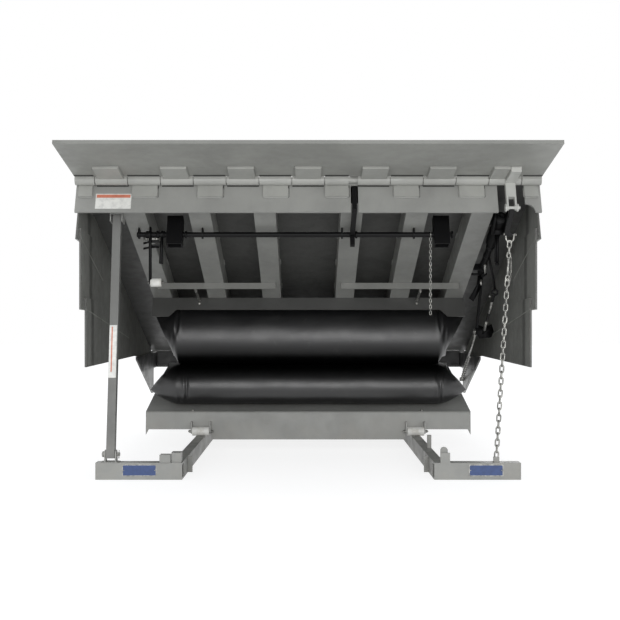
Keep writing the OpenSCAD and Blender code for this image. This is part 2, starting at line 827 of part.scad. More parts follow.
// On the right the foot's upright post is the keeper's front, and a round-topped hook its rear
module lip_keeper_right() {
    x0 = rail_in + stub_right + keeper_t / 2;
    r = hook_w / 2;
    y0 = keeper_t + keeper_slot;
    color([0.5, 0.5, 0.49]) {
        slab(x0, x0 + hook_w, keeper_t, y0 + keeper_t, rail_h, rail_h + keeper_t);
        front_plate(y0, y0 + keeper_t) {
            translate([x0, rail_h]) square([hook_w, hook_h - r]);
            translate([x0 + r, rail_h + hook_h - r]) circle(r = r);
        }
    }
}

// Pan

module bag_pan() {
    rear = pan_start + pan_dir * pan_len;
    arm_x = rail_in + rail_wall;
    color([0.55, 0.55, 0.54]) {
        side_plate(-pan_half, pan_half)
            polygon([pan_start, rear, rear - pan_norm * pan_t, pan_start - pan_norm * pan_t]);
        front_plate(pan_front, pan_front + pan_t)
            for (s = [0, 1]) mirror([s, 0])
                polygon([[0, pan_z - pan_t], [0, skirt_low], [skirt_mid, skirt_low],
                    [skirt_mid + skirt_ear_w, pan_z - skirt_h],
                    [pan_half - skirt_ear_w, pan_z - skirt_h],
                    [pan_half, pan_z - skirt_h - skirt_ear], [pan_half, pan_z - pan_t]]);
        for (x0 = [-pan_half, pan_half - pan_t])
            side_plate(x0, x0 + pan_t)
                polygon([pan_start - pan_norm, rear - pan_norm, rear - pan_norm * pan_flange,
                    pan_start - pan_norm * pan_flange]);
        for (x0 = [-arm_x - pan_t, arm_x])
            side_plate(x0, x0 + pan_t)
                polygon([rear - pan_dir * arm_lap - pan_norm, rear - pan_norm,
                    [frame_len - post_d, rear[1]], [frame_len - post_d, rear[1] - arm_h],
                    rear - pan_dir * arm_lap - pan_norm * arm_h]);
    }
}

module roller_brackets() {
    gap = 2;
    color([0.55, 0.55, 0.54]) for (s = [-1, 1]) {
        for (x0 = [-roller_w / 2 - gap - bracket_t, roller_w / 2 + gap])
            side_plate(s * roller_x + x0, s * roller_x + x0 + bracket_t) difference() {
                union() {
                    polygon([[roller_y - bracket_r, roller_z],
                        [roller_y - bracket_r / 2, pan_z - skirt_h + bracket_lap],
                        [pan_front, pan_z - skirt_h + bracket_lap], [pan_front, roller_z - bracket_r],
                        [roller_y, roller_z - bracket_r]]);
                    translate([roller_y, roller_z]) circle(r = bracket_r);
                }
                translate([roller_y, roller_z]) circle(d = axle_d);
            }
        translate([s * roller_x, roller_y, roller_z])
            rod_x(-roller_w / 2 - gap - bracket_t - 4, roller_w / 2 + gap + bracket_t + 4, axle_d);
    }
}

module pan_roller(s) {
    color([0.85, 0.85, 0.84]) translate([s * roller_x, roller_y, roller_z]) difference() {
        rod_x(-roller_w / 2, roller_w / 2, roller_d);
        rod_x(-roller_w / 2 - over, roller_w / 2 + over, axle_d + 2 * run);
    }
}

module pan_roller_left() { pan_roller(-1); }
module pan_roller_right() { pan_roller(1); }

// Air bag: each chamber is lofted through outlines that fan out from the bag's apex

bag_slices = 8;
// Angle left between a chamber and the surface it lies on
bag_seat = 0.015;
function tip_share(t, tip) = t < tip ? t / tip : (1 - t) / (1 - tip);
// Outline of one slice as [X, distance from the apex]
function bag_outline(t, tip) =
    let (w = bag_half + (bag_tip - bag_half) * pow(tip_share(t, tip), 1.4),
        r = bag_r + bag_bulge * sqrt(max(0, 1 - pow(2 * t - 1, 2))),
        c = 90)
    concat(
        [[w, bag_rear]],
        [for (a = [0:22.5:90]) [w - c + c * cos(a), r - c + c * sin(a)]],
        [for (a = [90:22.5:180]) [c - w + c * cos(a), r - c + c * sin(a)]],
        [[-w, bag_rear]]
    );

module bag_chamber(a0, a1, tip) {
    rings = [for (i = [0:bag_slices]) let (t = i / bag_slices, a = a0 + (a1 - a0) * t)
        [for (p = bag_outline(t, tip)) let (q = bag_pt(p[1], a)) [p[0], q[0], q[1]]]];
    n = len(rings[0]);
    polyhedron(
        points = [for (ring = rings) each ring],
        faces = concat(
            [[for (j = [0:n - 1]) j]],
            [[for (j = [n - 1:-1:0]) bag_slices * n + j]],
            [for (i = [0:bag_slices - 1], j = [0:n - 1])
                [i * n + j, (i + 1) * n + j, (i + 1) * n + (j + 1) % n]],
            [for (i = [0:bag_slices - 1], j = [0:n - 1])
                [i * n + j, (i + 1) * n + (j + 1) % n, i * n + (j + 1) % n]]
        )
    );
}

module air_bag_lower() {
    color([0.16, 0.16, 0.17]) bag_chamber(bag_seat - pan_slope, bag_crease, tip_lower);
}

module air_bag_upper() {
    color([0.16, 0.16, 0.17]) bag_chamber(bag_crease + bag_seat, deck_slope - bag_seat, tip_upper);
}

module upper_bag_plate() {
    color([0.4, 0.4, 0.39]) on_deck() {
        slab(-plate_half, plate_half, -plate_front, -plate_rear, plate_low, joist_low);
        slab(-plate_half, plate_half, -plate_front - plate_t, -plate_front,
            joist_low - plate_flange, joist_low);
        for (s = [0, 1]) mirror([s, 0, 0]) front_plate(-plate_front - plate_t, -plate_front)
            polygon([[plate_half - plate_ear_w - plate_ear + plate_flange, joist_low - plate_flange + over],
                [plate_half - plate_ear_w - plate_ear + plate_flange, joist_low - plate_flange],
                [plate_half - plate_ear_w, joist_low - plate_ear], [plate_half, joist_low - plate_ear],
                [plate_half, joist_low - plate_flange + over]]);
    }
}

module cross_bars() {
    far = joist_xs[2];
    near = joist_xs[0] - joist_w / 4;
    color([0.5, 0.5, 0.49]) on_deck() for (s = [-1, 1])
        side_plate(s > 0 ? near : -far, s > 0 ? far : -near) difference() {
            translate([-bar_y, joist_low - bar_leg]) square(bar_leg);
            translate([plate_t - bar_y, joist_low - bar_leg - plate_t]) square(bar_leg);
        }
}

// Safety legs and their linkage

module on_shaft() {
    on_deck() translate([0, -shaft_y, shaft_z]) children();
}

module shaft_bearings() {
    top = joist_low - shaft_z;
    half = shaft_d / 2 + bearing_wall;
    color([0.1, 0.1, 0.1]) on_shaft()
        for (x = [-joist_xs[2], -joist_xs[1], joist_xs[0] - joist_w / 2 + 10, joist_xs[1]])
        side_plate(x - bearing_t / 2, x + bearing_t / 2) difference() {
            union() {
                circle(r = half);
                translate([-half, 0]) square([2 * half, top]);
            }
            circle(d = shaft_d + 2 * run);
        }
}

module leg_shaft() {
    color([0.08, 0.08, 0.08]) on_shaft() rod_x(-joist_xs[2] - 10, leg_x + leg_w / 2 + 6, shaft_d);
}

module safety_leg(s) {
    wall = 6;
    color([0.12, 0.12, 0.12]) on_shaft() difference() {
        slab(s * leg_x - leg_w / 2, s * leg_x + leg_w / 2, -leg_d / 2, leg_d / 2, -leg_down, leg_up);
        slab(s * leg_x - leg_w / 2 + wall, s * leg_x + leg_w / 2 - wall, -leg_d / 2 + wall,
            leg_d / 2 - wall, -leg_down - over, leg_up + over);
        rod_x(s * leg_x - leg_w, s * leg_x + leg_w, shaft_d + 2 * run);
    }
}

module safety_leg_left() { safety_leg(-1); }
module safety_leg_right() { safety_leg(1); }

// The leg lever runs forward under the joists, through the header's slot and up beside the hinge
module leg_lever() {
    x0 = leg_lever_x - leg_lever_t / 2;
    half = leg_lever_w / 2;
    back = deck_len - shaft_y - header_front - header_t + hinge_clear;
    front = back + leg_lever_d;
    top = leg_lever_top - shaft_z;
    color([0.06, 0.06, 0.06]) on_shaft() side_plate(x0, x0 + leg_lever_t) difference() {
        union() {
            polygon([[half, half], [-back, half], [-back, top], [-front, top],
                [-front, -half / 2], [-back, -half], [-half, -half], [-half, -leg_down],
                [half, -leg_down]]);
            circle(d = shaft_d + 16);
        }
        circle(d = shaft_d + 2 * run);
    }
}

// Two blades tied by a pair of plates; the long one carries a roller
module trip_arm() {
    hub = shaft_d + 14;
    half = trip_t;
    inner = trip_roller_w + 4;
    color([0.1, 0.1, 0.1]) on_shaft() rotate([deck_slope, 0, 0]) {
        for (blade = [[-trip_x - trip_t, trip_len], [-trip_x + inner, trip_short]])
            side_plate(blade[0], blade[0] + trip_t) difference() {
                union() {
                    circle(d = hub);
                    translate([-half, -blade[1]]) square([2 * half, blade[1]]);
                    translate([0, -blade[1]]) circle(r = half);
                }
                circle(d = shaft_d + 2 * run);
            }
        for (z = [hub, hub + 2 * trip_t])
            slab(-trip_x, -trip_x + inner, -half, half, -z, trip_t - z);
        translate([0, 0, -trip_len]) {
            rod_x(-trip_x, -trip_x + inner + trip_t, trip_t + 2);
            rod_x(-trip_x + 2, -trip_x + 2 + trip_roller_w, trip_roller_d);
        }
    }
}

// Lip strut

// A point on the strut's side view, given from the arm's pivot to its chain's anchor
strut_pin = deck_pt(-strut_rear, strut_z);
arm_end = [strut_end_y, strut_end_z];
strut_arm_x = strut_x + strut_arm_t;
strut_anchor = [frame_len - wing_back - wing_foot / 2 - strut_pin_d, wing_low + strut_up];

module lip_strut() {
    wall_x = joist_xs[2] + joist_w / 2;
    arm_v = arm_end - strut_pin;
    arm_n = [-arm_v[1], arm_v[0]] * (strut_arm_w / 4 / norm(arm_v));
    color([0.08, 0.08, 0.08]) {
        on_deck() {
            translate([0, -strut_rear - strut_d, strut_z]) rotate([90, 0, 0])
                translate([strut_x, 0, 0]) cylinder(d = strut_d, h = strut_front - strut_rear - 2 * strut_d);
            translate([strut_x, -strut_rear, strut_z]) rotate([90, 0, 0])
                cylinder(d = strut_d / 2, h = strut_front - strut_rear);
            for (y = [-strut_front + 2 * strut_d, -strut_rear - 3 * strut_d])
                slab(wall_x, strut_x, y, y + strut_pin_d, strut_z - strut_d / 2, strut_z + strut_d / 2);
        }
        translate([0, strut_pin[0], strut_pin[1]])
            rod_x(wall_x, strut_x + strut_arm_t + strut_d / 2, strut_pin_d);
        side_plate(strut_arm_x - strut_arm_t / 2, strut_arm_x + strut_arm_t / 2) {
            translate(strut_pin) circle(d = strut_arm_w);
            translate(arm_end) circle(d = strut_arm_w);
            polygon([strut_pin - arm_n, strut_pin + arm_n, arm_end + arm_n, arm_end - arm_n]);
        }
    }
}

// A rod from the strut's arm and a chain from the rod to the right wing
strut_top = [strut_arm_x, arm_end[0], arm_end[1]];
strut_foot = [wing_in - strut_pin_d, strut_anchor[0], strut_anchor[1]];
strut_way = (strut_foot - strut_top) / norm(strut_foot - strut_top);
strut_chain_top = strut_top + strut_way * strut_rod;

module strut_chain() {
    turn = atan2(strut_way[1], strut_way[0]);
    fall = acos(strut_way[2]);
    start = strut_arm_w / 2 + seat + strut_rod_d / 2 * strut_way[0];
    color([0.72, 0.72, 0.7]) {
        translate(strut_top) rotate([0, fall, turn]) translate([0, 0, start])
            cylinder(d = strut_rod_d, h = strut_rod - start);
        chain_run(strut_chain_top, strut_foot, lip_link, lip_wire, lip_link_w);
    }
}

// The lug on the right wing that holds the strut's chain
module strut_lug() {
    links = chain_count(strut_chain_top, strut_foot, lip_link);
    end = strut_chain_top + strut_way * (links * (lip_link - seat) + seat / 2 + lip_wire);
    half = lip_link_w / 2;
    y0 = end[1] + half * (1 - strut_way[1]) + seat;
    slab(end[0] - half, wing_in, y0, y0 + lip_link_w, end[2] - half, end[2] + half);
}

// Maintenance prop

module on_prop_pin() {
    translate([-prop_x, prop_pin_y, prop_pin_z]) children();
}

module maintenance_prop() {
    half = prop_w / 2;
    color([0.6, 0.6, 0.59]) on_prop_pin() rotate([-prop_lean, 0, 0]) difference() {
        slab(-half, half, -half, half, -half, prop_len);
        slab(-half + prop_wall, half - prop_wall, -half + prop_wall, half - prop_wall,
            -half - over, prop_len + over);
        rod_x(-prop_w, prop_w, prop_pin_d + 2 * run);
    }
}

module prop_foot_bracket() {
    inner = prop_w / 2 + prop_play;
    outer = inner + prop_lug_t;
    up = prop_pin_z - rail_h;
    color([0.55, 0.55, 0.54]) on_prop_pin() {
        for (x0 = [-outer, inner])
            side_plate(x0, x0 + prop_lug_t) difference() {
                union() {
                    translate([-prop_lug_r, -up]) square([2 * prop_lug_r, up]);
                    circle(r = prop_lug_r);
                }
                circle(d = prop_pin_d);
            }
        rod_x(-outer, outer + prop_pin_end, prop_pin_d);
        rod_x(-outer - prop_head_t, -outer, prop_head_d);
    }
}

module prop_seat() {
    inner = prop_w / 2 + prop_clear;
    plate = 8;
    half = 34;
    guide = 36;
    side = 5;
    front = prop_top - prop_across * half;
    rear = prop_top + prop_across * half;
    roof = cross_pt(front, prop_dir, deck_pt(0, deck_under), [cos(deck_slope), -sin(deck_slope)]);
    roof_rear = cross_pt(rear, prop_dir, deck_pt(0, deck_under), [cos(deck_slope), -sin(deck_slope)]);
    color([0.5, 0.5, 0.49]) translate([-prop_x, 0, 0]) {
        side_plate(-inner, inner)
            polygon([front, rear, rear + prop_dir * plate, front + prop_dir * plate]);
        for (x0 = [-inner - side, inner])
            side_plate(x0, x0 + side)
                polygon([front - prop_dir * guide, rear - prop_dir * guide, roof_rear, roof]);
    }
}

// Chains, each a straight run of links that pass through one another

module chain_link(pitch, wire, width) {
    r = (width - wire) / 2;
    h = pitch / 2 - r + wire / 2;
    for (x = [-r, r]) translate([x, 0, -h]) cylinder(d = wire, h = 2 * h, $fn = 16);
    for (m = [0, 1]) mirror([0, 0, m]) translate([0, 0, h]) rotate([90, 0, 0])
        rotate_extrude(angle = 180, $fn = 24) translate([r, 0]) circle(d = wire, $fn = 16);
}

// Number of links that fit between two points
function chain_count(top, foot, pitch) = floor(norm(foot - top) / (pitch - seat));
// Height at which the chain's last link ends
function chain_end_z(top, foot, pitch, wire) =
    let (n = chain_count(top, foot, pitch), step = pitch - seat)
    top[2] + (foot - top)[2] / norm(foot - top) * (n * step + seat / 2 + wire);

// A chain from its top point down to its foot
module chain_run(top, foot, pitch, wire, width) {
    v = foot - top;
    step = pitch - seat;
    lean = acos(-v[2] / norm(v));
    turn = atan2(v[1], v[0]);
    translate(top) rotate([0, 0, turn]) rotate([0, -lean, 0])
        for (i = [0:chain_count(top, foot, pitch) - 1])
            translate([0, 0, -(i + 0.5) * step]) rotate([0, 0, i % 2 * 90])
                chain_link(pitch, wire, width);
}

lever_pin = deck_pt(-deck_len, -lever_pin_at);
chain_top = [lever_x, lever_pin[0], lever_pin[1] - clevis_pin_d / 2 - lip_wire - 1.5 * seat];
chain_foot = [chain_foot_x, foot_d / 2, rail_h + 2 * lip_wire];

module lip_chain() {
    color([0.72, 0.72, 0.7]) chain_run(chain_top, chain_foot, lip_link, lip_wire, lip_link_w);
}

module pull_chain() {
    top = deck_pt(-shaft_y, shaft_z) - [0, shaft_d / 2 + pull_wire + 1.5 * seat];
    x = leg_x - leg_w / 2 - 14;
    color([0.75, 0.75, 0.73]) chain_run([x, top[0], top[1]], [x, top[0], top[1] - pull_len],
        pull_link, pull_wire, pull_link_w);
}

// The tab on the right foot that holds the lip chain's last link
module chain_tab() {
    half = lip_link_w / 2;
    top = chain_end_z(chain_top, chain_foot, lip_link, lip_wire) - seat;
    slab(chain_foot_x - half, chain_foot_x + half, foot_d / 2 - half, foot_d / 2 + half, rail_h, top);
}

module placed() {
    translate([0, -y_mid, 0]) children();
}

placed() deck_plate();
placed() joists_left();
placed() joists_right();
placed() header_plate();
placed() deck_knuckles();
placed() lip_hinge_pin();
placed() lip_plate();
placed() lip_knuckles();
placed() lip_lever();
placed() toe_guard_upper_left();
placed() toe_guard_upper_right();
placed() toe_guard_middle_left();
placed() toe_guard_middle_right();
placed() toe_guard_lower_left();
placed() toe_guard_lower_right();
placed() rear_beam();
placed() rear_hinge_lugs();
placed() rear_hinge_pins();
placed() rear_wing_left();
placed() rear_wing_right();
placed() rear_post_left();
placed() rear_post_right();
placed() floor_rail_left();
placed() floor_rail_right();
placed() front_foot_left();
placed() front_foot_right();
placed() lip_keeper_left();
placed() lip_keeper_right();
placed() bag_pan();
placed() roller_brackets();
placed() pan_roller_left();
placed() pan_roller_right();
placed() air_bag_lower();
placed() air_bag_upper();
placed() upper_bag_plate();
placed() cross_bars();
placed() shaft_bearings();
placed() leg_shaft();
placed() safety_leg_left();
placed() safety_leg_right();
placed() leg_lever();
placed() trip_arm();
placed() lip_strut();
placed() strut_chain();
placed() maintenance_prop();
placed() prop_foot_bracket();
placed() prop_seat();
placed() lip_chain();
placed() pull_chain();
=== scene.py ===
"""An air-powered dock leveler standing open on its prop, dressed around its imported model."""
import json
import math

import bmesh
import bpy
from mathutils import Matrix, Vector, noise


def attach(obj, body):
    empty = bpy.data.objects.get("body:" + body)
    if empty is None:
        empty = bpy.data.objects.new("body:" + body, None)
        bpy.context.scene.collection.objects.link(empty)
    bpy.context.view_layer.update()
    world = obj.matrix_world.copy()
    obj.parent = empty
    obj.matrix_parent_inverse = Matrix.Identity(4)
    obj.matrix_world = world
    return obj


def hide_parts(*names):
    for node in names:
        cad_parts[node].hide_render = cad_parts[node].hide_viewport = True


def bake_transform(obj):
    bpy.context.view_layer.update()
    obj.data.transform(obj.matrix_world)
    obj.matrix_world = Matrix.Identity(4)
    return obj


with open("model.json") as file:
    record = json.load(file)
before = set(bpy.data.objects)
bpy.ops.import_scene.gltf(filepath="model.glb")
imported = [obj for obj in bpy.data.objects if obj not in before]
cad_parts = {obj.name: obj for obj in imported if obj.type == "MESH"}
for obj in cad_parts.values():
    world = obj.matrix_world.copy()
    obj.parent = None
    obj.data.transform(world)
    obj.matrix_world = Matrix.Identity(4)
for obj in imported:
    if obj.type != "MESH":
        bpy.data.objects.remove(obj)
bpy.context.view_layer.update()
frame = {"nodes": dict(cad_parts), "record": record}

MM = 0.001
Y_MID = 1046.995232  # from the feet's front face to the row frame's middle
scene = bpy.context.scene


# ---------------------------------------------------------------- camera and stage

def make_camera():
    cam = bpy.data.cameras.new("camera")
    cam.sensor_fit = "HORIZONTAL"
    cam.sensor_width = 36.0
    cam.lens = 60.85
    cam.shift_x = 0.0029
    cam.shift_y = 0.008
    cam.clip_start = 0.05
    cam.clip_end = 100.0
    obj = bpy.data.objects.new("camera", cam)
    obj.location = (0.0, -5.757, 0.741)
    obj.rotation_euler = (math.radians(90), 0, 0)
    scene.collection.objects.link(obj)
    scene.camera = obj


def new_node(nt, kind, **values):
    """A node with the inputs of these names set."""
    node = nt.nodes.new(kind)
    for name, value in values.items():
        node.inputs[name].default_value = value
    return node


def show_directly(nt, shown, other, output):
    """Sends shown to the camera, into glosses and through glass, and other to every other ray."""
    path = nt.nodes.new("ShaderNodeLightPath")
    direct = path.outputs["Is Camera Ray"]
    for ray in ("Is Glossy Ray", "Is Transmission Ray"):
        either = nt.nodes.new("ShaderNodeMath")
        either.operation = "ADD"
        either.use_clamp = True
        nt.links.new(direct, either.inputs[0])
        nt.links.new(path.outputs[ray], either.inputs[1])
        direct = either.outputs[0]
    mix = nt.nodes.new("ShaderNodeMixShader")
    for slot, source in enumerate((direct, other.outputs[0], shown.outputs[0])):
        nt.links.new(source, mix.inputs[slot])
    nt.links.new(mix.outputs[0], nt.nodes.new(output).inputs["Surface"])


def make_world():
    world = bpy.data.worlds.new("studio")
    scene.world = world
    world.use_nodes = True
    nt = world.node_tree
    nt.nodes.clear()
    soft = new_node(nt, "ShaderNodeBackground", Color=(0.93, 0.96, 1.0, 1), Strength=0.84)
    white = new_node(nt, "ShaderNodeBackground", Color=(1, 1, 1, 1), Strength=1.0)
    show_directly(nt, white, soft, "ShaderNodeOutputWorld")


def make_floor():
    half = 20.0
    mesh = bpy.data.meshes.new("studio_floor")
    mesh.from_pydata([(-half, -half, 0), (half, -half, 0), (half, half, 0), (-half, half, 0)],
                     [], [(0, 1, 2, 3)])
    obj = bpy.data.objects.new("studio_floor", mesh)
    obj.location.z = -0.0005
    scene.collection.objects.link(obj)
    mat = bpy.data.materials.new("studio_floor")
    mat.use_nodes = True
    nt = mat.node_tree
    nt.nodes.clear()
    matt = new_node(nt, "ShaderNodeBsdfDiffuse", Color=(0.28, 0.28, 0.28, 1))
    glow = new_node(nt, "ShaderNodeEmission", Strength=0.82)
    shown = nt.nodes.new("ShaderNodeAddShader")
    nt.links.new(matt.outputs[0], shown.inputs[0])
    nt.links.new(glow.outputs[0], shown.inputs[1])
    bounce = new_node(nt, "ShaderNodeBsdfDiffuse", Color=(0.8, 0.8, 0.79, 1))
    show_directly(nt, shown, bounce, "ShaderNodeOutputMaterial")
    obj.data.materials.append(mat)


def lamp(name, place, aim, size, power):
    data = bpy.data.lights.new(name, "AREA")
    data.shape = "RECTANGLE"
    data.size, data.size_y = size
    data.energy = power
    obj = bpy.data.objects.new(name, data)
    obj.location = place
    obj.rotation_euler = (Vector(aim) - Vector(place)).to_track_quat("-Z", "Y").to_euler()
    scene.collection.objects.link(obj)


make_camera()
make_world()
make_floor()
lamp("front_key", (0.25, -8.6, 1.25), (0, 0, 0.75), (4.2, 1.6), 235)
lamp("top_soft", (0.0, 0.9, 5.5), (0, 0.2, 0.5), (5.0, 5.0), 105)
lamp("rear_soft", (1.8, 7.0, 3.0), (0, 0, 0.6), (5.0, 3.0), 85)
scene.view_settings.view_transform = "Standard"


# ---------------------------------------------------------------- materials

def linear(*srgb):
    """A colour written as 0-255 sRGB values, as linear RGBA."""
    out = [(c / 255 / 12.92) if c <= 10 else ((c / 255 + 0.055) / 1.055) ** 2.4 for c in srgb]
    return (*out, 1)


class Shader:
    """A Principled material and short calls to wire its nodes."""

    def __init__(self, name, roughness=0.5, metallic=0.0, specular=0.5):
        self.mat = bpy.data.materials.new(name)
        self.mat.use_nodes = True
        self.nt = self.mat.node_tree
        self.bsdf = self.nt.nodes["Principled BSDF"]
        self.bsdf.inputs["Roughness"].default_value = roughness
        self.bsdf.inputs["Metallic"].default_value = metallic
        self.bsdf.inputs["Specular IOR Level"].default_value = specular
        self.where = self.nt.nodes.new("ShaderNodeTexCoord").outputs["Object"]

    def wire(self, a, b):
        self.nt.links.new(a, b)

    def feed(self, slot, value):
        """Sets a socket to a number or colour, or wires it to another socket."""
        if isinstance(value, (int, float, tuple)):
            slot.default_value = value
        else:
            self.wire(value, slot)

    def noise(self, scale, detail=4.0, rough=0.55, distort=0.0, stretch=None):
        node = new_node(self.nt, "ShaderNodeTexNoise", Scale=scale, Detail=detail, Roughness=rough,
                        Distortion=distort)
        source = self.where
        if stretch:
            mapping = new_node(self.nt, "ShaderNodeMapping", Scale=stretch)
            self.wire(source, mapping.inputs["Vector"])
            source = mapping.outputs["Vector"]
        self.wire(source, node.inputs["Vector"])
        return node.outputs["Fac"]

    def spread(self, value, low, high, out_low=0.0, out_high=1.0):
        """A soft step from out_low to out_high as value goes from low to high."""
        node = self.nt.nodes.new("ShaderNodeMapRange")
        node.interpolation_type = "SMOOTHSTEP"
        ends = (("From Min", low), ("From Max", high), ("To Min", out_low), ("To Max", out_high))
        for name, number in ends:
            node.inputs[name].default_value = number
        self.wire(value, node.inputs["Value"])
        return node.outputs["Result"]

    def math(self, kind, a, b):
        node = self.nt.nodes.new("ShaderNodeMath")
        node.operation = kind
        self.feed(node.inputs[0], a)
        self.feed(node.inputs[1], b)
        return node.outputs[0]

    def times(self, a, b):
        return self.math("MULTIPLY", a, b)

    def mix(self, amount, a, b, blend="MIX"):
        node = self.nt.nodes.new("ShaderNodeMix")
        node.data_type = "RGBA"
        node.blend_type = blend
        for slot, value in zip((node.inputs[0], node.inputs[6], node.inputs[7]), (amount, a, b)):
            self.feed(slot, value)
        return node.outputs[2]

    def dimmed(self, base, amount, factor):
        """The colour base, times factor where amount is 1."""
        return self.mix(amount, base, self.mix(1.0, base, (factor, factor, factor, 1), "MULTIPLY"))

    def axis_of(self, source, axis):
        node = self.nt.nodes.new("ShaderNodeSeparateXYZ")
        self.wire(source, node.inputs[0])
        return node.outputs[axis]

    def at(self, axis):
        """How far along an axis of the row frame the surface lies, in metres."""
        return self.axis_of(self.where, axis)

    def facing(self, axis):
        return self.axis_of(self.nt.nodes.new("ShaderNodeTexCoord").outputs["Normal"], axis)

    def inward(self):
        """1 on side faces that look in towards the object's middle."""
        return self.spread(self.times(self.at("X"), self.facing("X")), -0.4, -0.9)

    def bump(self, value, strength, distance):
        node = new_node(self.nt, "ShaderNodeBump", Strength=strength, Distance=distance)
        self.wire(value, node.inputs["Height"])
        last = self.bsdf.inputs["Normal"]
        if last.is_linked:
            self.wire(last.links[0].from_socket, node.inputs["Normal"])
        self.wire(node.outputs[0], last)

    def colour(self, value):
        self.wire(value, self.bsdf.inputs["Base Color"])

    def roughness(self, value):
        self.wire(value, self.bsdf.inputs["Roughness"])

    def specular(self, value):
        self.wire(value, self.bsdf.inputs["Specular IOR Level"])


def enamel(name, srgb, rough=0.42, dirt=0.35, under=1.0, edge=1.0, inside=None, high=None):
    """Sprayed machine enamel: faint orange peel, soft blotches, dust low down and small scuffs.

    under and edge paint shade: the share of its colour that a face keeps where it looks down or to
    the front. The shade for faces that look in is (y from, y to, share), darker towards the hinge
    and with less gloss, and high paints shade, (z from, z to, share), on front and inner faces up under the
    deck.
    """
    s = Shader(name, roughness=rough)
    tone = linear(*srgb)

    def scaled(factor):
        return tuple(min(1, c * factor) for c in tone[:3]) + (1,)

    base = s.mix(s.spread(s.noise(3.1, 5, 0.6, 0.4), 0.32, 0.68), scaled(0.88), scaled(1.05))
    streak = s.spread(s.noise(2.2, 6, 0.6, stretch=(9, 9, 0.8)), 0.5, 0.78)
    base = s.mix(s.times(streak, dirt * 0.5), base, scaled(0.6))
    dusty = s.times(s.spread(s.at("Z"), 0.34, -0.02), s.spread(s.noise(9, 5, 0.7), 0.35, 0.75))
    base = s.mix(s.times(dusty, dirt), base, linear(164, 158, 148))
    scuff = s.spread(s.noise(38, 6, 0.72, 1.4), 0.69, 0.74)
    base = s.mix(s.times(scuff, 0.45), base, linear(176, 175, 170))
    # painted shade: faces that look down keep only the share under of their colour
    if under < 1:
        base = s.dimmed(base, s.spread(s.facing("Z"), -0.2, -0.6), under)
    # painted shade on faces that look in, deeper towards the hinge, with less gloss there
    if inside:
        y_from, y_to, share = inside
        inward = s.inward()
        shaded = s.times(inward, s.spread(s.at("Y"), y_from, y_to))
        base = s.dimmed(base, shaded, share)
        # painted shade: a narrow dark band on the inward faces near a guard's front edge
        fold = s.times(s.spread(s.at("Y"), -0.745, -0.7), s.spread(s.at("Y"), -0.635, -0.68))
        base = s.dimmed(base, s.times(inward, fold), 0.5)
        s.specular(s.math("SUBTRACT", 0.5, s.times(shaded, 0.4)))
    # painted shade on front and inner faces that lie high up under the deck
    if high:
        z_from, z_to, share = high
        toward_us = s.math("MAXIMUM", s.spread(s.facing("Y"), 0.05, -0.2), s.inward())
        base = s.dimmed(base, s.times(toward_us, s.spread(s.at("Z"), z_from, z_to)), share)
    # painted shade on faces that look to the front
    if edge < 1:
        base = s.dimmed(base, s.spread(s.facing("Y"), -0.8, -0.95), edge)
    s.colour(base)
    s.roughness(s.spread(s.noise(17, 4), 0.3, 0.7, rough - 0.07, rough + 0.12))
    s.bump(s.noise(420, 2), 0.12, 0.0006)
    s.bump(s.noise(7, 3), 0.18, 0.004)
    return s.mat


GREY = (146, 146, 142)
ENAMELS = {
    "frame": (GREY, {}),
    "deck": (GREY, {}),
    # under paints shade: the deck plate's underside keeps about a quarter of its colour
    "tread": ((137, 137, 133), {"under": 0.26}),
    "tread_top": ((150, 150, 146), {"rough": 0.36}),
    "bag_plate": ((70, 70, 68), {"dirt": 0.5}),
    # bar is a darker grey that paints in the dimmer light on the cross bars up under the deck
    "bar": ((128, 128, 124), {"dirt": 0.4}),
    "lever": ((180, 180, 175), {"rough": 0.36, "dirt": 0.2}),
    "knuckle": ((158, 158, 153), {"rough": 0.4}),
    "prop": ((105, 105, 102), {"dirt": 0.2}),
    "rail": ((132, 132, 128), {}),
    # seam is the dark grey of thin strips that paint the shadows in the gaps and beside the pads at the
    # hinge
    "seam": ((58, 58, 56), {"rough": 0.7, "dirt": 0.1}),
    "joist": ((140, 140, 136), {"dirt": 0.5}),
    # edge and the inward setting paint shade on the guards' front faces and on their inner faces towards
    # the hinge
    "guard": ((146, 146, 141), {"dirt": 0.4, "edge": 0.34, "inside": (-0.82, -0.6, 0.8)}),
    # high paints deep shade on the rear parts' front and inner faces up under the deck
    "rear": (GREY, {"high": (0.38, 0.4, 0.03)}),
    # a lighter grey for the strips on the guards' edges, as painted highlight
    "edge_highlight": ((158, 158, 152), {"dirt": 0.2}),
    # edge paints light shade on the lip's front faces
    "lip": ((141, 141, 136), {"rough": 0.5, "edge": 0.8}),
}
MATERIALS = {}


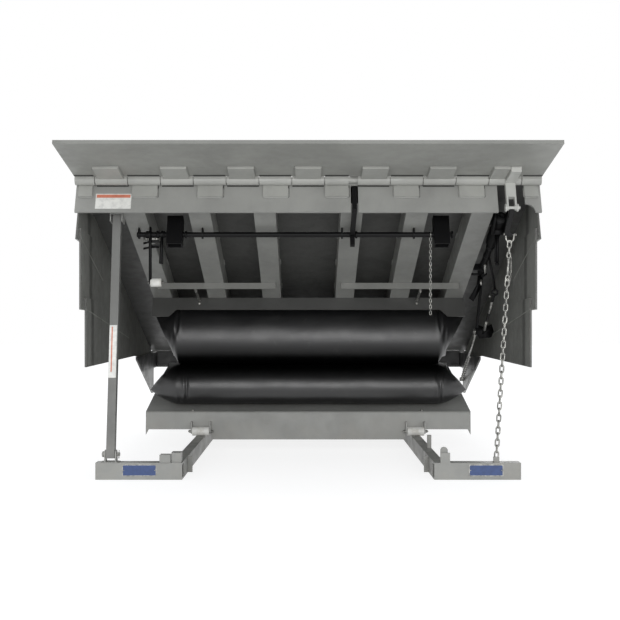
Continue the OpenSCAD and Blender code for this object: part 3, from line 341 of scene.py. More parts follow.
def paint_all():
    for key, (tone, finish) in ENAMELS.items():
        MATERIALS[key] = enamel("enamel_" + key, tone, **finish)

    s = Shader("satin_black", roughness=0.5, specular=0.18)
    worn = s.spread(s.noise(31, 6, 0.7, 1.0), 0.62, 0.74)
    s.colour(s.mix(s.times(worn, 0.25), linear(9, 9, 10), linear(56, 55, 53)))
    s.bump(s.noise(300, 2), 0.15, 0.0006)
    MATERIALS["black"] = s.mat

    s = Shader("zinc_plate", roughness=0.34, metallic=0.75)
    s.colour(s.mix(s.spread(s.noise(60, 4), 0.35, 0.7), linear(118, 118, 115), linear(176, 175, 169)))
    s.roughness(s.spread(s.noise(45, 3), 0.3, 0.7, 0.26, 0.5))
    MATERIALS["zinc"] = s.mat

    s = Shader("turned_steel", roughness=0.36, metallic=0.85)
    ring = s.noise(90, 3, stretch=(6, 0.4, 0.4))
    s.colour(s.mix(ring, linear(104, 103, 100), linear(150, 149, 145)))
    s.bump(ring, 0.2, 0.0004)
    MATERIALS["pin"] = s.mat

    s = Shader("white_nylon", roughness=0.5)
    s.colour(s.mix(s.spread(s.noise(24, 4), 0.4, 0.75), linear(222, 221, 216), linear(196, 193, 184)))
    s.bump(s.noise(260, 2), 0.1, 0.0005)
    MATERIALS["nylon"] = s.mat

    for key, tone in (("label_white", (226, 225, 220)), ("label_band", (203, 122, 98)),
                      ("label_blue", (52, 74, 122))):
        s = Shader(key, roughness=0.42)
        shade = s.spread(s.noise(40, 4), 0.35, 0.7)
        s.colour(s.mix(shade, linear(*tone), linear(*(c * 0.9 for c in tone))))
        MATERIALS[key] = s.mat

    # the bag: powdery coated cloth, a woven bump, and painted shade between the chambers, darker and less
    # glossy there
    s = Shader("coated_fabric", roughness=0.38, specular=0.8)
    tone = s.mix(s.spread(s.noise(5, 5, 0.6), 0.3, 0.7), linear(20, 20, 21), linear(27, 27, 28))
    powder = s.spread(s.noise(16, 6, 0.7, 0.6), 0.56, 0.74)
    valley = s.nt.nodes.new("ShaderNodeAttribute")
    valley.attribute_name = "valley"
    # painted shade: darker and less glossy where the valley attribute is high
    deep = s.spread(valley.outputs["Fac"], 0.0, 0.9)
    tone = s.mix(s.times(powder, 0.12), tone, linear(96, 95, 92))
    s.colour(s.mix(deep, tone, linear(4, 4, 4)))
    s.roughness(s.spread(s.noise(11, 4), 0.3, 0.7, 0.34, 0.42))
    s.specular(s.math("SUBTRACT", 0.8, s.times(deep, 0.72)))
    for direction in ("X", "Z"):
        weave = new_node(s.nt, "ShaderNodeTexWave", Scale=190)
        weave.bands_direction = direction
        s.wire(s.where, weave.inputs["Vector"])
        s.bump(weave.outputs["Fac"], 0.16, 0.0005)
    s.bump(s.noise(22, 5, 0.6), 0.25, 0.003)
    MATERIALS["fabric"] = s.mat


NODES_OF = {
    "tread": "deck_plate",
    "lip": "lip_plate",
    "lever": "lip_lever",
    "knuckle": "lip_knuckles deck_knuckles lip_hinge_pin",
    "joist": "joists_left joists_right",
    "bag_plate": "upper_bag_plate",
    "bar": "cross_bars",
    "prop": "maintenance_prop",
    "rail": "floor_rail_left floor_rail_right",
    "rear": "rear_beam rear_wing_left rear_wing_right",
    "pin": "rear_hinge_pins",
    "zinc": "lip_chain strut_chain pull_chain",
    "black": "lip_strut leg_shaft safety_leg_left safety_leg_right leg_lever trip_arm shaft_bearings",
    "nylon": "pan_roller_left pan_roller_right",
    "fabric": "air_bag_lower air_bag_upper",
}
MATERIAL_OF = {node: key for key, names in NODES_OF.items() for node in names.split()}
FRAME_BODY = set(frame["record"]["behaviour"]["bodies"]["frame"])


def finish_nodes():
    for name, obj in frame["nodes"].items():
        key = "guard" if name.startswith("toe_guard") else "frame" if name in FRAME_BODY else "deck"
        material = MATERIALS[MATERIAL_OF.get(name, key)]
        for slot in obj.material_slots:
            slot.material = material
        if not obj.material_slots:
            obj.data.materials.append(material)


paint_all()
finish_nodes()


# ---------------------------------------------------------------- places, from the part's own sizes

X_AXIS, Y_AXIS, Z_AXIS = Vector((1, 0, 0)), Vector((0, 1, 0)), Vector((0, 0, 1))
DECK_ANGLE = 21.2
SLOPE = math.radians(DECK_ANGLE)
DROOP = math.radians(10.1)
HINGE_Y, HINGE_Z = 2369.0, 478.0
DECK_LEN, DECK_W = 2438.0, 2134.0
HEADER_FACE = -2409.0
SHAFT_Y, SHAFT_Z = -2135.0, -132.0
LEVER_X, LEVER_PIN = 923.0, 142.0
DECK_PADS = [(-750, 115), (-450, 115), (-150, 115), (131, 108), (450, 115), (750, 115)]
LIP_PADS = (-900, -600, -300, 0, 300, 600)


def row(x, y, z):
    """Millimetres from the feet's front face, as metres in the row frame."""
    return Vector((x * MM, (y - Y_MID) * MM, z * MM))


def deck(x, y, z):
    """A point of the deck, given along it and across it from the rear hinge."""
    c, s = math.cos(SLOPE), math.sin(SLOPE)
    return row(x, HINGE_Y + y * c + z * s, HINGE_Z - y * s + z * c)


def lip_hinge(x, y, z):
    """A point given along the deck and across it from the lip's hinge."""
    return deck(x, y - DECK_LEN, z)


def lip(x, y, z):
    """A point of the lip, given along it and across it from its hinge."""
    c, s = math.cos(DROOP), math.sin(DROOP)
    return deck(x, y * c - z * s - DECK_LEN, y * s + z * c)


def step(place, x, y, z):
    """The step of so many millimetres along the axes of row, deck or lip."""
    return place(x, y, z) - place(0, 0, 0)


def oblong(a0, a1, b0, b1):
    """The corners of a rectangle, in order round it."""
    return (a0, b0), (a1, b0), (a1, b1), (a0, b1)


def angles(steps, start=0.0, span=math.pi):
    """Steps + 1 angles, evenly from start over the span."""
    return [start + span * i / steps for i in range(steps + 1)]


def circle(centre, a, b, r, steps=20):
    """Points of a ring about centre, in the plane of the unit vectors a and b."""
    return [centre + (a * math.cos(t) + b * math.sin(t)) * r * MM
            for t in angles(steps, 0, 2 * math.pi)[:-1]]


def collar(width, r, hole, bevel=1.0):
    """The lathe profile of a ring or drum with bevelled rims."""
    return [(0, hole), (0, r - bevel), (bevel, r), (width - bevel, r), (width, r - bevel), (width, hole)]


def make_piece(name, verts, faces, material, body=None, smooth=True):
    """One object from points and faces, with its normals outward."""
    mesh = bpy.data.meshes.new(name)
    mesh.from_pydata([tuple(v) for v in verts], [], faces)
    bm = bmesh.new()
    bm.from_mesh(mesh)
    bmesh.ops.recalc_face_normals(bm, faces=bm.faces)
    bm.to_mesh(mesh)
    bm.free()
    for poly in mesh.polygons:
        poly.use_smooth = smooth
    obj = bpy.data.objects.new(name, mesh)
    mesh.materials.append(MATERIALS[material])
    scene.collection.objects.link(obj)
    if body:
        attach(obj, body)
    return obj


class Batch:
    """Collects points and faces of many small forms into one piece; radii are in millimetres."""

    def __init__(self):
        self.verts = []
        self.faces = []

    def add(self, verts, faces):
        base = len(self.verts)
        self.verts.extend(verts)
        self.faces.extend([tuple(base + i for i in f) for f in faces])

    def lathe(self, place, axis, profile, sides=16):
        """Turns (along, radius) pairs about an axis; a radius of 0 closes to a point."""
        place, axis = Vector(place), Vector(axis).normalized()
        side = axis.orthogonal().normalized()
        verts, faces, rings = [], [], []
        for along, r in profile:
            centre = place + axis * along * MM
            points = circle(centre, side, axis.cross(side), r, sides) if r else [centre]
            rings.append(list(range(len(verts), len(verts) + len(points))))
            verts += points
        for a, b in zip(rings, rings[1:]):
            for k in range(sides):
                n = (k + 1) % sides
                if len(a) == 1:
                    faces.append((a[0], b[k], b[n]))
                elif len(b) == 1:
                    faces.append((a[k], b[0], a[n]))
                else:
                    faces.append((a[k], b[k], b[n], a[n]))
        self.add(verts, faces)

    def tube(self, path, radius, sides=8, closed=False):
        """A round bar along a path; radius may be one number or one per point."""
        path = [Vector(p) for p in path]
        n = len(path)
        radii = radius if isinstance(radius, (list, tuple)) else [radius] * n
        verts, faces = [], []
        side = None
        for i, p in enumerate(path):
            if closed:
                tangent = (path[(i + 1) % n] - path[i - 1]).normalized()
            else:
                tangent = (path[min(i + 1, n - 1)] - path[max(i - 1, 0)]).normalized()
            if side is None:
                side = tangent.orthogonal().normalized()
            side = (side - tangent * side.dot(tangent)).normalized()
            verts += circle(p, side, tangent.cross(side), radii[i], sides)
        for i in range(n if closed else n - 1):
            for k in range(sides):
                a, b = i * sides + k, i * sides + (k + 1) % sides
                c, d = ((i + 1) % n) * sides + (k + 1) % sides, ((i + 1) % n) * sides + k
                faces.append((a, b, c, d))
        if not closed:
            faces.append(tuple(range(sides - 1, -1, -1)))
            faces.append(tuple((n - 1) * sides + k for k in range(sides)))
        self.add(verts, faces)

    def prism(self, outline, lift):
        """An outline of points extruded by the vector lift."""
        n = len(outline)
        verts = [Vector(p) for p in outline] + [Vector(p) + Vector(lift) for p in outline]
        faces = [tuple(range(n - 1, -1, -1)), tuple(range(n, 2 * n))]
        faces += [(i, (i + 1) % n, n + (i + 1) % n, n + i) for i in range(n)]
        self.add(verts, faces)

    def make(self, name, material, body, smooth=True, slot=None):
        return make_piece(name, self.verts, self.faces, material, body, smooth)


# ---------------------------------------------------------------- the air bag

# The chambers lie between planes that meet in one line, the apex, near the rear hinge. r is the
# distance from it in millimetres, and angles are degrees above level.
PAN_SLOPE = 12.5
BAG_APEX = (2156.5, 442.44)
BAG_NEAR, BAG_WAIST, BAG_TIP_R, BAG_FRONT = 120.0, 905.0, 1000.0, 1079.0
BAG_CREASE, BAG_GAP = 1.2, 0.02
BAG_SAG_FROM, BAG_TAPER_FROM = 560.0, 728.0
BAG_STEP, BAG_STEPS = 26.0, 25
BAG_FINE_FROM, BAG_FINE_STEP = 655.0, 5.0
BAG_FLAT, BAG_ROUND = 9, 34


def bag_point(x, r, angle):
    a = math.radians(angle)
    return row(x, BAG_APEX[0] - r * math.cos(a), BAG_APEX[1] + r * math.sin(a))


def mixed(a, b, t):
    return a + (b - a) * t


def fold(x, centre, width):
    return math.exp(-((x - centre) / width) ** 2)


def bag_columns(tip):
    """Places along X, close together where the ends fold."""
    half = [i * BAG_STEP for i in range(BAG_STEPS)]
    x = BAG_FINE_FROM
    while x < tip - 1:
        half.append(x)
        x += BAG_FINE_STEP
    half.append(tip)
    return [-x for x in reversed(half[1:])] + half


def bag_section(low, high, taper, sag):
    """(r, angle, how much it faces the front, share of the flat's depth) round one section."""
    middle, half = (low + high) / 2, (high - low) / 2
    waist = mixed(BAG_WAIST, BAG_TIP_R - 4, taper ** 1.3)
    front = mixed(BAG_FRONT - 6 * sag ** 2, BAG_TIP_R, taper ** 1.55)
    flat = [i / BAG_FLAT for i in range(BAG_FLAT)]
    loop = [(mixed(BAG_NEAR, waist, t), low, 0.0, t) for t in flat]
    for f in angles(BAG_ROUND, -math.pi / 2):
        swell = math.cos(f) ** 0.9 if abs(f) < math.pi / 2 - 1e-6 else 0.0
        loop.append((waist + (front - waist) * swell, middle + half * math.sin(f), math.cos(f), 1.0))
    return loop + [(mixed(BAG_NEAR, waist, t), high, 0.0, t) for t in reversed(flat)]


def crease_depth(x, q, creases):
    """How deep the creases cut in at x and q, which runs from 0 at the bottom to 1 at the top."""
    depth = 0.0
    for centre, q0, q1, deep in creases:
        if centre * x > 0:
            off = q - (q0 + q1) / 2
            bend = centre + math.copysign(88.0 * off ** 2, centre)
            rims = fold(x, bend + 15, 9) + fold(x, bend - 15, 9)
            depth += deep * max(0.0, 1 - abs(2 * off / (q1 - q0)) ** 3) * (fold(x, bend, 7.5) - 0.45 * rims)
    return depth


def bag_chamber(name, low, high, seam, tips, creases, seed, valley):
    """A pillow of coated fabric between the planes low and high, its ends pinched to seam.

    A crease is (x, its bottom, its top, depth). valley is the side, 0 for the bottom or 1 for the
    top, that lies against the other chamber; painted shade, kept in the valley attribute, darkens it.
    """
    verts, faces, shades = [], [], []
    columns = bag_columns(max(tips))
    for x in columns:
        tip = tips[0 if x < 0 else 1]
        reach = min(abs(x), tip)
        taper = max(0.0, (reach - BAG_TAPER_FROM) / (tip - BAG_TAPER_FROM))
        sag = max(0.0, (reach - BAG_SAG_FROM) / (tip - BAG_SAG_FROM))
        k = taper ** (1.12 if valley < 0.5 else 1.65)
        a_low, a_high = mixed(low, seam, k), mixed(high, seam, k)
        for r, a, face_on, along in bag_section(a_low, a_high, taper, sag):
            bow = 26.0 * taper * math.sin(math.pi * (r - BAG_NEAR) / (BAG_FRONT - BAG_NEAR))
            q = (a - low) / (high - low)
            lie = noise.noise(Vector((x / 160, r / 150 + seed, a / 5)))
            fine = noise.noise(Vector((x / 46 + seed, r / 60, a / 2.2)))
            ripple = math.sin(math.pi * taper) * noise.noise(Vector((x / 120, seed + 9, q * 7.5)))
            depth = 1.6 * lie + 0.5 * fine * face_on + 6.5 * ripple * (0.35 + 0.65 * face_on)
            depth -= crease_depth(x, q, creases) * face_on
            depth *= (0.25 if along < 1 else 1.0) * (1 - 0.8 * taper ** 6)
            outward = (bag_point(x, r + 10, a) - bag_point(x, r, a)).normalized()
            turn = math.radians(90 if a > (a_low + a_high) / 2 else -90) * (1 - face_on)
            verts.append(bag_point(math.copysign(reach - bow, x), r, a)
                         + Matrix.Rotation(-turn, 3, "X") @ outward * depth * MM)
            # painted shade for the valley attribute: strongest on the side against the other chamber, none
            # at the tips
            shades.append(max(0.0, 1 - abs(q - valley) / 0.44) * (1 - taper))
    n = 2 * BAG_FLAT + BAG_ROUND + 1
    last = (len(columns) - 1) * n
    for c in range(0, last, n):
        for j in range(n):
            m = (j + 1) % n
            faces.append((c + j, c + m, c + n + m, c + n + j))
    faces.append(tuple(range(n)))
    faces.append(tuple(last + j for j in reversed(range(n))))
    piece = make_piece(name, verts, faces, "fabric")
    piece.data.attributes.new("valley", "FLOAT", "POINT").data.foreach_set("value", shades)
    return piece


def build_bag():
    lower = bag_chamber("bag_lower_chamber", BAG_GAP - PAN_SLOPE, BAG_CREASE, -6.9, (892.0, 892.0),
                        [(-672, 0.12, 0.85, 9.0), (730, 0.1, 0.8, 9.0), (-716, 0.0, 0.4, 4.5),
                         (716, 0.55, 1.0, 4.0)], 3.0, 1.0)
    upper = bag_chamber("bag_upper_chamber", BAG_CREASE, DECK_ANGLE - BAG_GAP, 17.0, (866.0, 884.0),
                        [(-726, 0.45, 1.05, 9.0), (732, 0.5, 1.05, 9.0), (-752, 0.0, 0.5, 5.0),
                         (760, 0.1, 0.55, 5.0)], 8.0, 0.0)
    for piece, node in ((lower, "air_bag_lower"), (upper, "air_bag_upper")):
        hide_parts(node)
        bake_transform(piece)


build_bag()


# ---------------------------------------------------------------- chains, pins and bolts

HEX = 6
LINK, LINK_WIRE, LINK_W = 27.7, 7.0, 24.0
CHAIN_FOOT = (851.0, 32.0, 90.0)
STRUT_X = 927
STRUT_LUG = (1014, 2204, 318.5)


def stadium(centre, along, side, length, width, steps=7):
    """Points of a closed link's centre line: two half circles joined by straights."""
    along, side = Vector(along).normalized(), Vector(side).normalized()
    r = width / 2
    h = length / 2 - r
    return [Vector(centre) + (along * end * (h + r * math.sin(a)) + side * end * r * math.cos(a)) * MM
            for end in (1, -1) for a in angles(steps)]


def link_run(pick, origin, along, planes, start, stop, lap=6.8, first=0):
    """Interlinked links from start to stop along a line; pick(middle) gives each one's batch."""
    count = round((stop - start) / LINK)
    pitch = (stop - start) / count
    for i in range(count):
        middle = start + (i + 0.5) * pitch
        path = stadium(origin + along * middle * MM, along, planes[(i + first) % 2],
                       pitch + lap, LINK_W - LINK_WIRE)
        pick(middle).tube(path, LINK_WIRE / 2, 9, closed=True)


def hex_bolt(batch, place, axis, across, head, washer=None, stud=0.0):
    """A hexagon head on its washer, seen from the side that axis points to, with the thread's end."""
    axis = Vector(axis).normalized()
    r = across / 2 / math.cos(math.pi / HEX)
    base = Vector(place) - axis * 0.4 * MM
    z = 0.0
    if washer:
        z, rim = 2.2, washer / 2
        batch.lathe(base, axis, [(0, 0), (0, rim), (z * 0.8, rim), (z, rim - 0.4), (z, 0)], 24)
    top = z + head
    batch.lathe(base, axis, [(z, 0), (z, r), (top - 1.1, r), (top, r * 0.86), (top, 0)], HEX)
    if stud:
        r, end = across * 0.3, top + stud
        batch.lathe(base, axis, [(top - 0.5, 0), (top - 0.5, r), (end, r), (end + 1, r * 0.8),
                                 (end + 1, 0)], 12)


def weld(batch, a, b, size, lean=(0, 0, 1)):
    """A fillet bead with its ripples, from a to b."""
    a, b = Vector(a), Vector(b)
    count = max(3, int((b - a).length / (2.4 * MM)))
    path, radii = [], []
    for i in range(count + 1):
        p = a + (b - a) * (i / count)
        jog = noise.noise(p * 70) * size * 0.14 * MM
        path.append(p + Vector(lean).normalized() * jog)
        end = min(1.0, (min(i, count - i) + 0.6) / 3)
        radii.append(size * end * (1 + 0.16 * (i % 2) + 0.18 * noise.noise(p * 160)))
    batch.tube(path, radii, 7)


def build_lip_chain():
    """From the lever's pin: a black bar, a shackle, links, a long bolt, and links to the right foot."""
    top, foot = lip_hinge(LEVER_X, 0, -LEVER_PIN), row(*CHAIN_FOOT)
    down = (foot - top).normalized()
    across = Y_AXIS.cross(down).normalized()
    level = down.cross(across).normalized()
    planes = (level, across)
    lower, upper, hooks, bar = Batch(), Batch(), Batch(), Batch()
    reach = (foot - top).length / MM
    split, lap = reach * 0.46, 6.79

    def at(side, along, out=0.0):
        return top + (across * side + down * along + level * out) * MM

    def pick(middle):
        return upper if middle < split else lower

    # the bar: an eye round the lever's pin, a bend to the side and a foot on the shackle's pin
    outline = [(9 * math.sin(a), -9 * math.cos(a)) for a in angles(8, -math.pi / 2)]
    outline += [(9, 34), (25, 104), (25, 128), (-11, 128), (-11, 116), (6, 108), (-9, 40)]
    bar.prism([at(side, along, -5) for side, along in outline], level * 10 * MM)
    # the shackle: its pin, and a bow that opens upward
    hooks.lathe(at(29, 122), -across, [(0, 0), (0, 5.5), (4, 5.5), (4.5, 3.4), (54, 3.4), (54.5, 5.5),
                                       (58, 5), (58, 0)], 14)
    bow = [at(17.5 * math.cos(a), 138 + 17.5 * math.sin(a)) for a in angles(16)]
    upper.tube([at(21, 116), at(18, 124)] + bow + [at(-18, 124), at(-21, 116)], 3.7, 10)
    link_run(pick, top, down, planes, 151.8, 207.4, lap, first=1)
    # a long bolt with an eye at each end, and a thin chain beside it
    for middle in (215, 319):
        upper.tube(stadium(at(0, middle), down, across, 26, 15), 3.0, 9, closed=True)
    hooks.lathe(at(0, 224), down, [(0, 0), (0, 4.6), (1, 5.2), (86, 5.2), (87, 4.6), (87, 0)], 14)
    hex_bolt(hooks, at(0, 232), down, 13, 7)
    slack = [at(-6 - 8 * math.sin(a) ** 0.5, 212 + i * 10.4, 3) for i, a in enumerate(angles(14))]
    for i, (a, b) in enumerate(zip(slack, slack[1:])):
        upper.tube(stadium((a + b) / 2, b - a, planes[i % 2], 12.4, 6.4, 5), 1.1, 6, closed=True)
    link_run(pick, top, down, planes, 327.4, reach - 3, lap, first=1)

    piece = lower.make("lip_chain_lower", "zinc", None, slot="zinc_steel")
    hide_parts("lip_chain")
    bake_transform(piece)
    for name, batch, finish, slot in (("lip_chain_upper", upper, "zinc", "zinc_steel"),
                                      ("lip_chain_hooks", hooks, "zinc", "zinc_steel"),
                                      ("lip_chain_bar", bar, "black", "black_linkage")):
        piece = batch.make(name, finish, None, smooth=batch is not bar, slot=slot)
        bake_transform(piece)


def cotter(batch, place, axis, across, length, wire=1.6):
    """A split pin through a bolt's end: an eye on one side, two bent legs on the other."""
    axis, across = Vector(axis).normalized(), Vector(across).normalized()
    third = axis.cross(across)
    half = length / 2
    for s in (-1, 1):
        eye = [(half + 3 + 3.2 * math.sin(a), s * (wire * 0.5 + 2.6 * math.sin(a * 0.9)))
               for a in angles(8)[:5]]
        legs = [(0, s * wire * 0.45), (-half, s * wire * 0.5), (-half - 2, s * (wire + 2.5)),
                (-half - 1, s * (wire + 7))]
        path = [(half + 6.4, 0)] + eye[::-1] + [(half, 0)] + legs
        batch.tube([Vector(place) + (axis * a + third * t) * MM for a, t in path], wire / 2, 6)


def build_strut_chain():
    """The forked rod on the strut's arm, its eye, and the chain to the right wing."""
    arm, lug = row(STRUT_X, 1060, 650), row(*STRUT_LUG)
    along = (lug - arm).normalized()
    level = along.cross(Z_AXIS).normalized()
    tall = level.cross(along).normalized()
    flat = Vector((0, along.y, along.z)).normalized()
    up = X_AXIS.cross(flat)
    batch = Batch()
    for side in (-1, 1):
        cheek = [(13 * math.cos(a), 13 * math.sin(a)) for a in angles(14, math.pi / 2)]
        cheek += [(40, 10), (40, -10)]
        centre = arm + X_AXIS * side * 6.4 * MM
        batch.prism([centre + (flat * a + up * b) * MM for a, b in cheek], X_AXIS * side * 4 * MM)
    batch.lathe(arm + flat * 33 * MM, flat, [(0, 0), (0, 11), (14, 11), (20, 8.6), (20, 0)], 18)
    batch.lathe(arm + flat * 40 * MM, along, [(0, 0), (0, 7), (510, 7), (512, 5.5), (512, 0)], 14)
    hex_bolt(batch, row(STRUT_X + 10.4, 1060, 650), X_AXIS, 18, 8, stud=5)
    hex_bolt(batch, row(STRUT_X - 10.4, 1060, 650), -X_AXIS, 18, 8)
    batch.tube(stadium(arm + along * 563 * MM, along, tall, 34, 20), 3.6, 10, closed=True)
    link_run(lambda middle: batch, arm, along, (level, tall), 575, (lug - arm).length / MM - 1)
    piece = batch.make("strut_rod_and_chain", "zinc", None, slot="zinc_steel")
    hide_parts("strut_chain")
    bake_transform(piece)

    # the small staple on the wing's lug
    staple = Batch()
    x, y, z = STRUT_LUG
    staple.tube([row(x, y + 12 - 14 * math.sin(a), z + 9 * math.cos(a)) for a in angles(12)], 3, 10)
    staple.make("strut_chain_staple", "frame", "frame", slot="painted_frame")


def build_linkage_trim():
    """The lever pin's cotter, and the trim of the legs' shaft and its trip arm."""
    pin = Batch()
    cotter(pin, lip_hinge(LEVER_X + 33.5, 0, -LEVER_PIN), (0, 0.35, 1), X_AXIS, 17)
    pin.make("lever_pin_cotter", "zinc", "lip", slot="zinc_steel")

    # collars and set screws on the shaft
    shaft = Batch()
    for x, width in ((-774, 12), (-722, 14), (-692, 8), (-588, 8), (692, 8), (231, 10)):
        shaft.lathe(deck(x - width / 2, SHAFT_Y, SHAFT_Z), X_AXIS, collar(width, 18, 12.4), 24)
        hex_bolt(shaft, deck(x, SHAFT_Y - 17, SHAFT_Z - 4), step(deck, 0, -1, -0.2), 8, 5)
    centre = deck(0, SHAFT_Y, SHAFT_Z)

    def hung(x, out, z):
        """A point by the shaft: across, to the front and up, in millimetres."""
        return centre + Vector((x, -out, z)) * MM

    # the arm's two round bars, the flat ties between them and the clamp above
    shaft.tube([hung(-757, 9, 34), hung(-757, 9, -60), hung(-757, 9, -228)], 6.2, 14)
    shaft.tube([hung(-757, 9, 34), hung(-757, 9, 37)], 4.5, 14)
    shaft.tube([hung(-702, 10, -4), hung(-705, 10, -70), hung(-709, 10, -134), hung(-710, 10, -141)],
               [6.6, 6.6, 7.4, 4.4], 14)
    for z in (-34, -60):
        for x1, drop in ((-792, 8), (-716, 0)):
            tie = ((-757, z + 5), (x1, z + 5 - drop), (x1, z - 5 - drop), (-757, z - 5))
            shaft.prism([hung(x, 8, tz) for x, tz in tie], (0, 0.006, 0))
    shaft.make("shaft_collars", "black", "legs", slot="black_linkage")
    clamp = Batch()
    clamp.prism([hung(x, 1, z) for x, z in oblong(-792, -713, -28, -12)], (0, 0.004, 0))
    for x in (-729, -779):
        hex_bolt(clamp, hung(x, 1, -20), -Y_AXIS, 10, 4)
    clamp.make("shaft_clamp", "zinc", "legs", slot="zinc_steel")

    roller, ends = Batch(), Batch()
    where = hung(-757.5, 0, -230)
    roller.lathe(where, X_AXIS, [(0, 5.5), (0, 19), (1.5, 20.7), (49.5, 20.7), (51, 19), (51, 5.5)], 32)
    roller.make("trip_roller", "nylon", "legs", slot="nylon")
    hex_bolt(ends, where - X_AXIS * 9 * MM, -X_AXIS, 13, 5)
    hex_bolt(ends, where + X_AXIS * 51 * MM, X_AXIS, 15, 7, stud=4)
    ends.make("trip_arm_bolts", "pin", "legs", slot="black_linkage")


def build_strut_trim():
    """The lip strut's boot, collars, lugs and bolts, and the second rod below it."""
    front = step(deck, 0, -1, 0)
    dark, bright = Batch(), Batch()
    ribs = [(0, 0), (0, 17)]
    for i in range(17):
        ribs += [(4 + i * 16, 24 + i * 0.2), (12 + i * 16, 28.5 + i * 0.2)]
    dark.lathe(deck(910, -1960, -92), front, ribs + [(280, 30), (284, 26), (284, 0)], 28)
    for y, r, width in ((-1640, 21, 20), (-1700, 19, 8), (-1900, 21, 24), (-1800, 19, 12)):
        dark.lathe(deck(915, y, -90), front, collar(width, r, 16.6, 1.5), 28)
    # a forked bracket at the front end
    cheek = ((-2262, -112), (-2262, -70), (-2180, -60), (-2150, -60), (-2150, -140), (-2200, -140))
    for x in (878, 936):
        dark.prism([deck(x, y, z) for y, z in cheek], (0.008, 0, 0))
    dark.prism([deck(880, y, z) for y, z in oblong(-2158, -2150, -140, -62)], (0.062, 0, 0))
    # these two bolts are satin black, painted shade for bolts that sit in the shadow under the deck
    hex_bolt(dark, deck(943, -2215, -96), X_AXIS, 22, 9, washer=30)
    hex_bolt(dark, deck(933, -1560, -90), X_AXIS, 24, 11, washer=34, stud=6)
    # a flat bar and a rod that hang from the bracket
    for x, r, z0, z1 in ((900, 4.5, 996, 1135), (910, 6.4, 990, 1140)):
        dark.tube([row(x, 330, z1), row(x, 330, z0)], r, 12)
    dark.lathe(row(908, 330, 979), Z_AXIS, [(0, 0), (0, 8), (12, 9), (12, 0)], 16)
    dark.prism([row(x, 326, z) for x, z in oblong(893, 919, 1128, 1152)], (0, 0.010, 0))
    # below the pivot: a slanting plate, a drop pin and a clip
    plate = ((905, 950), (925, 950), (922, 888), (880, 812), (858, 830), (898, 902))
    dark.prism([row(x, 872, z) for x, z in plate], (0, 0.012, 0))
    bright.lathe(row(920, 866, 929), -Z_AXIS, [(0, 0), (0, 6), (22, 6), (30, 3), (30, 0)], 12)
    bright.lathe(row(918, 730, 1007), -Z_AXIS, [(0, 0), (0, 5), (8, 8), (24, 7), (52, 2.4), (52, 0)], 14)
    # the second rod: a ring on a link, two zinc sleeves, and its plate on the arm
    dark.tube(circle(row(964, 700, 858), X_AXIS, Z_AXIS, 14), 5, 10, closed=True)
    dark.tube([row(922, 640, 1040), row(950, 676, 935), row(964, 700, 874)], 6, 12)
    start, stop = row(962, 712, 846), row(960, 1036, 640)
    dark.tube([start, stop], 6.5, 12)
    run = stop - start
    for f0, f1, r in ((0.17, 0.45, 7.6), (0.67, 0.9, 8.4)):
        bright.lathe(start + run * f0, run, collar(run.length * (f1 - f0) / MM, r, 0), 16)
    plate = ((921, 640), (940, 612), (1004, 618), (1018, 650), (1006, 690), (960, 676), (921, 690))
    dark.prism([row(x, 1036, z) for x, z in plate], (0, 0.010, 0))
    bright.lathe(row(940, 720, 836), (0, -1, 0.2), [(0, 0), (0, 5), (10, 5), (10, 0)], 12)
    dark.make("strut_collars", "black", "deck", slot="black_linkage")
    bright.make("strut_bolts", "zinc", "deck", slot="zinc_steel")


def build_pull_ring():
    """The ring that hangs the pull chain from the shaft."""
    batch = Batch()
    batch.tube(circle(deck(588, SHAFT_Y, SHAFT_Z), Z_AXIS, Y_AXIS, 15.5), 2, 8, closed=True)
    batch.make("pull_chain_ring", "zinc", "deck", slot="zinc_steel")


def build_prop_trim():
    """The prop pin's cap and clip, and the plain strip on the prop."""
    clip = Batch()
    path = [(34, 130), (34, 99), (32, 93), (26, 93), (23, 100), (25, 108), (22.5, 114), (20, 122)]
    clip.tube([row(-856, *p) for p in path], 1.5, 8)
    clip.lathe(row(-929.8, 34, 111), -X_AXIS,
               [(0, 0), (0, 12.2), (1.6, 11.6), (3, 9), (3.6, 5), (3.8, 0)], 24)
    clip.make("prop_pin_clip", "zinc", "frame", slot="zinc_steel")

    lean = math.radians(8.6)
    up = Vector((0, math.sin(lean), math.cos(lean)))
    out = Vector((0, -math.cos(lean), math.sin(lean)))
    base = row(-893, 34, 111)
    for name, material, corners, lift in (
            ("prop_strip", "label_white", oblong(-18.4, 15.6, 345, 587), 19.0),
            ("prop_strip_band", "label_band", oblong(-9.0, -3.5, 372, 580), 19.35)):
        strip = Batch()
        strip.prism([base + (X_AXIS * x + up * z + out * lift) * MM for x, z in corners], out * 0.5 * MM)
        strip.make(name, material, "prop", smooth=False, slot="painted_deck")


def build_guard_highlights():
    """Thin strips for the guards' overlapping edges on their inner faces, in a lighter grey as painted
    highlight.
    """
    highlights = Batch()
    for side in (-1, 1):
        for x, wide, path in ((1050.4, 4.6, [(136, 1095), (653, 915)]),
                              (1042.1, 4.0, [(214, 765), (460, 733), (1383, 605)])):
            for (y0, z0), (y1, z1) in zip(path, path[1:]):
                strip = ((y0, z0), (y1, z1), (y1, z1 + wide), (y0, z0 + wide))
                highlights.prism([row(side * x, y, z) for y, z in strip], (-side * 0.0012, 0, 0))
    highlights.make("guard_edge_highlights", "edge_highlight", "deck", smooth=False, slot="painted_deck")


def build_rear_corners():
    """The plates that close the rear beam's ends; their dark grey is painted shade."""
    plates = Batch()
    for side in (-1, 1):
        plates.prism([row(side * x, 2439, z) for x, z in oblong(1024, 1066, 392, 512)], (0, -0.005, 0))
    plates.make("rear_corner_plates", "bag_plate", "frame", smooth=False, slot="painted_frame")


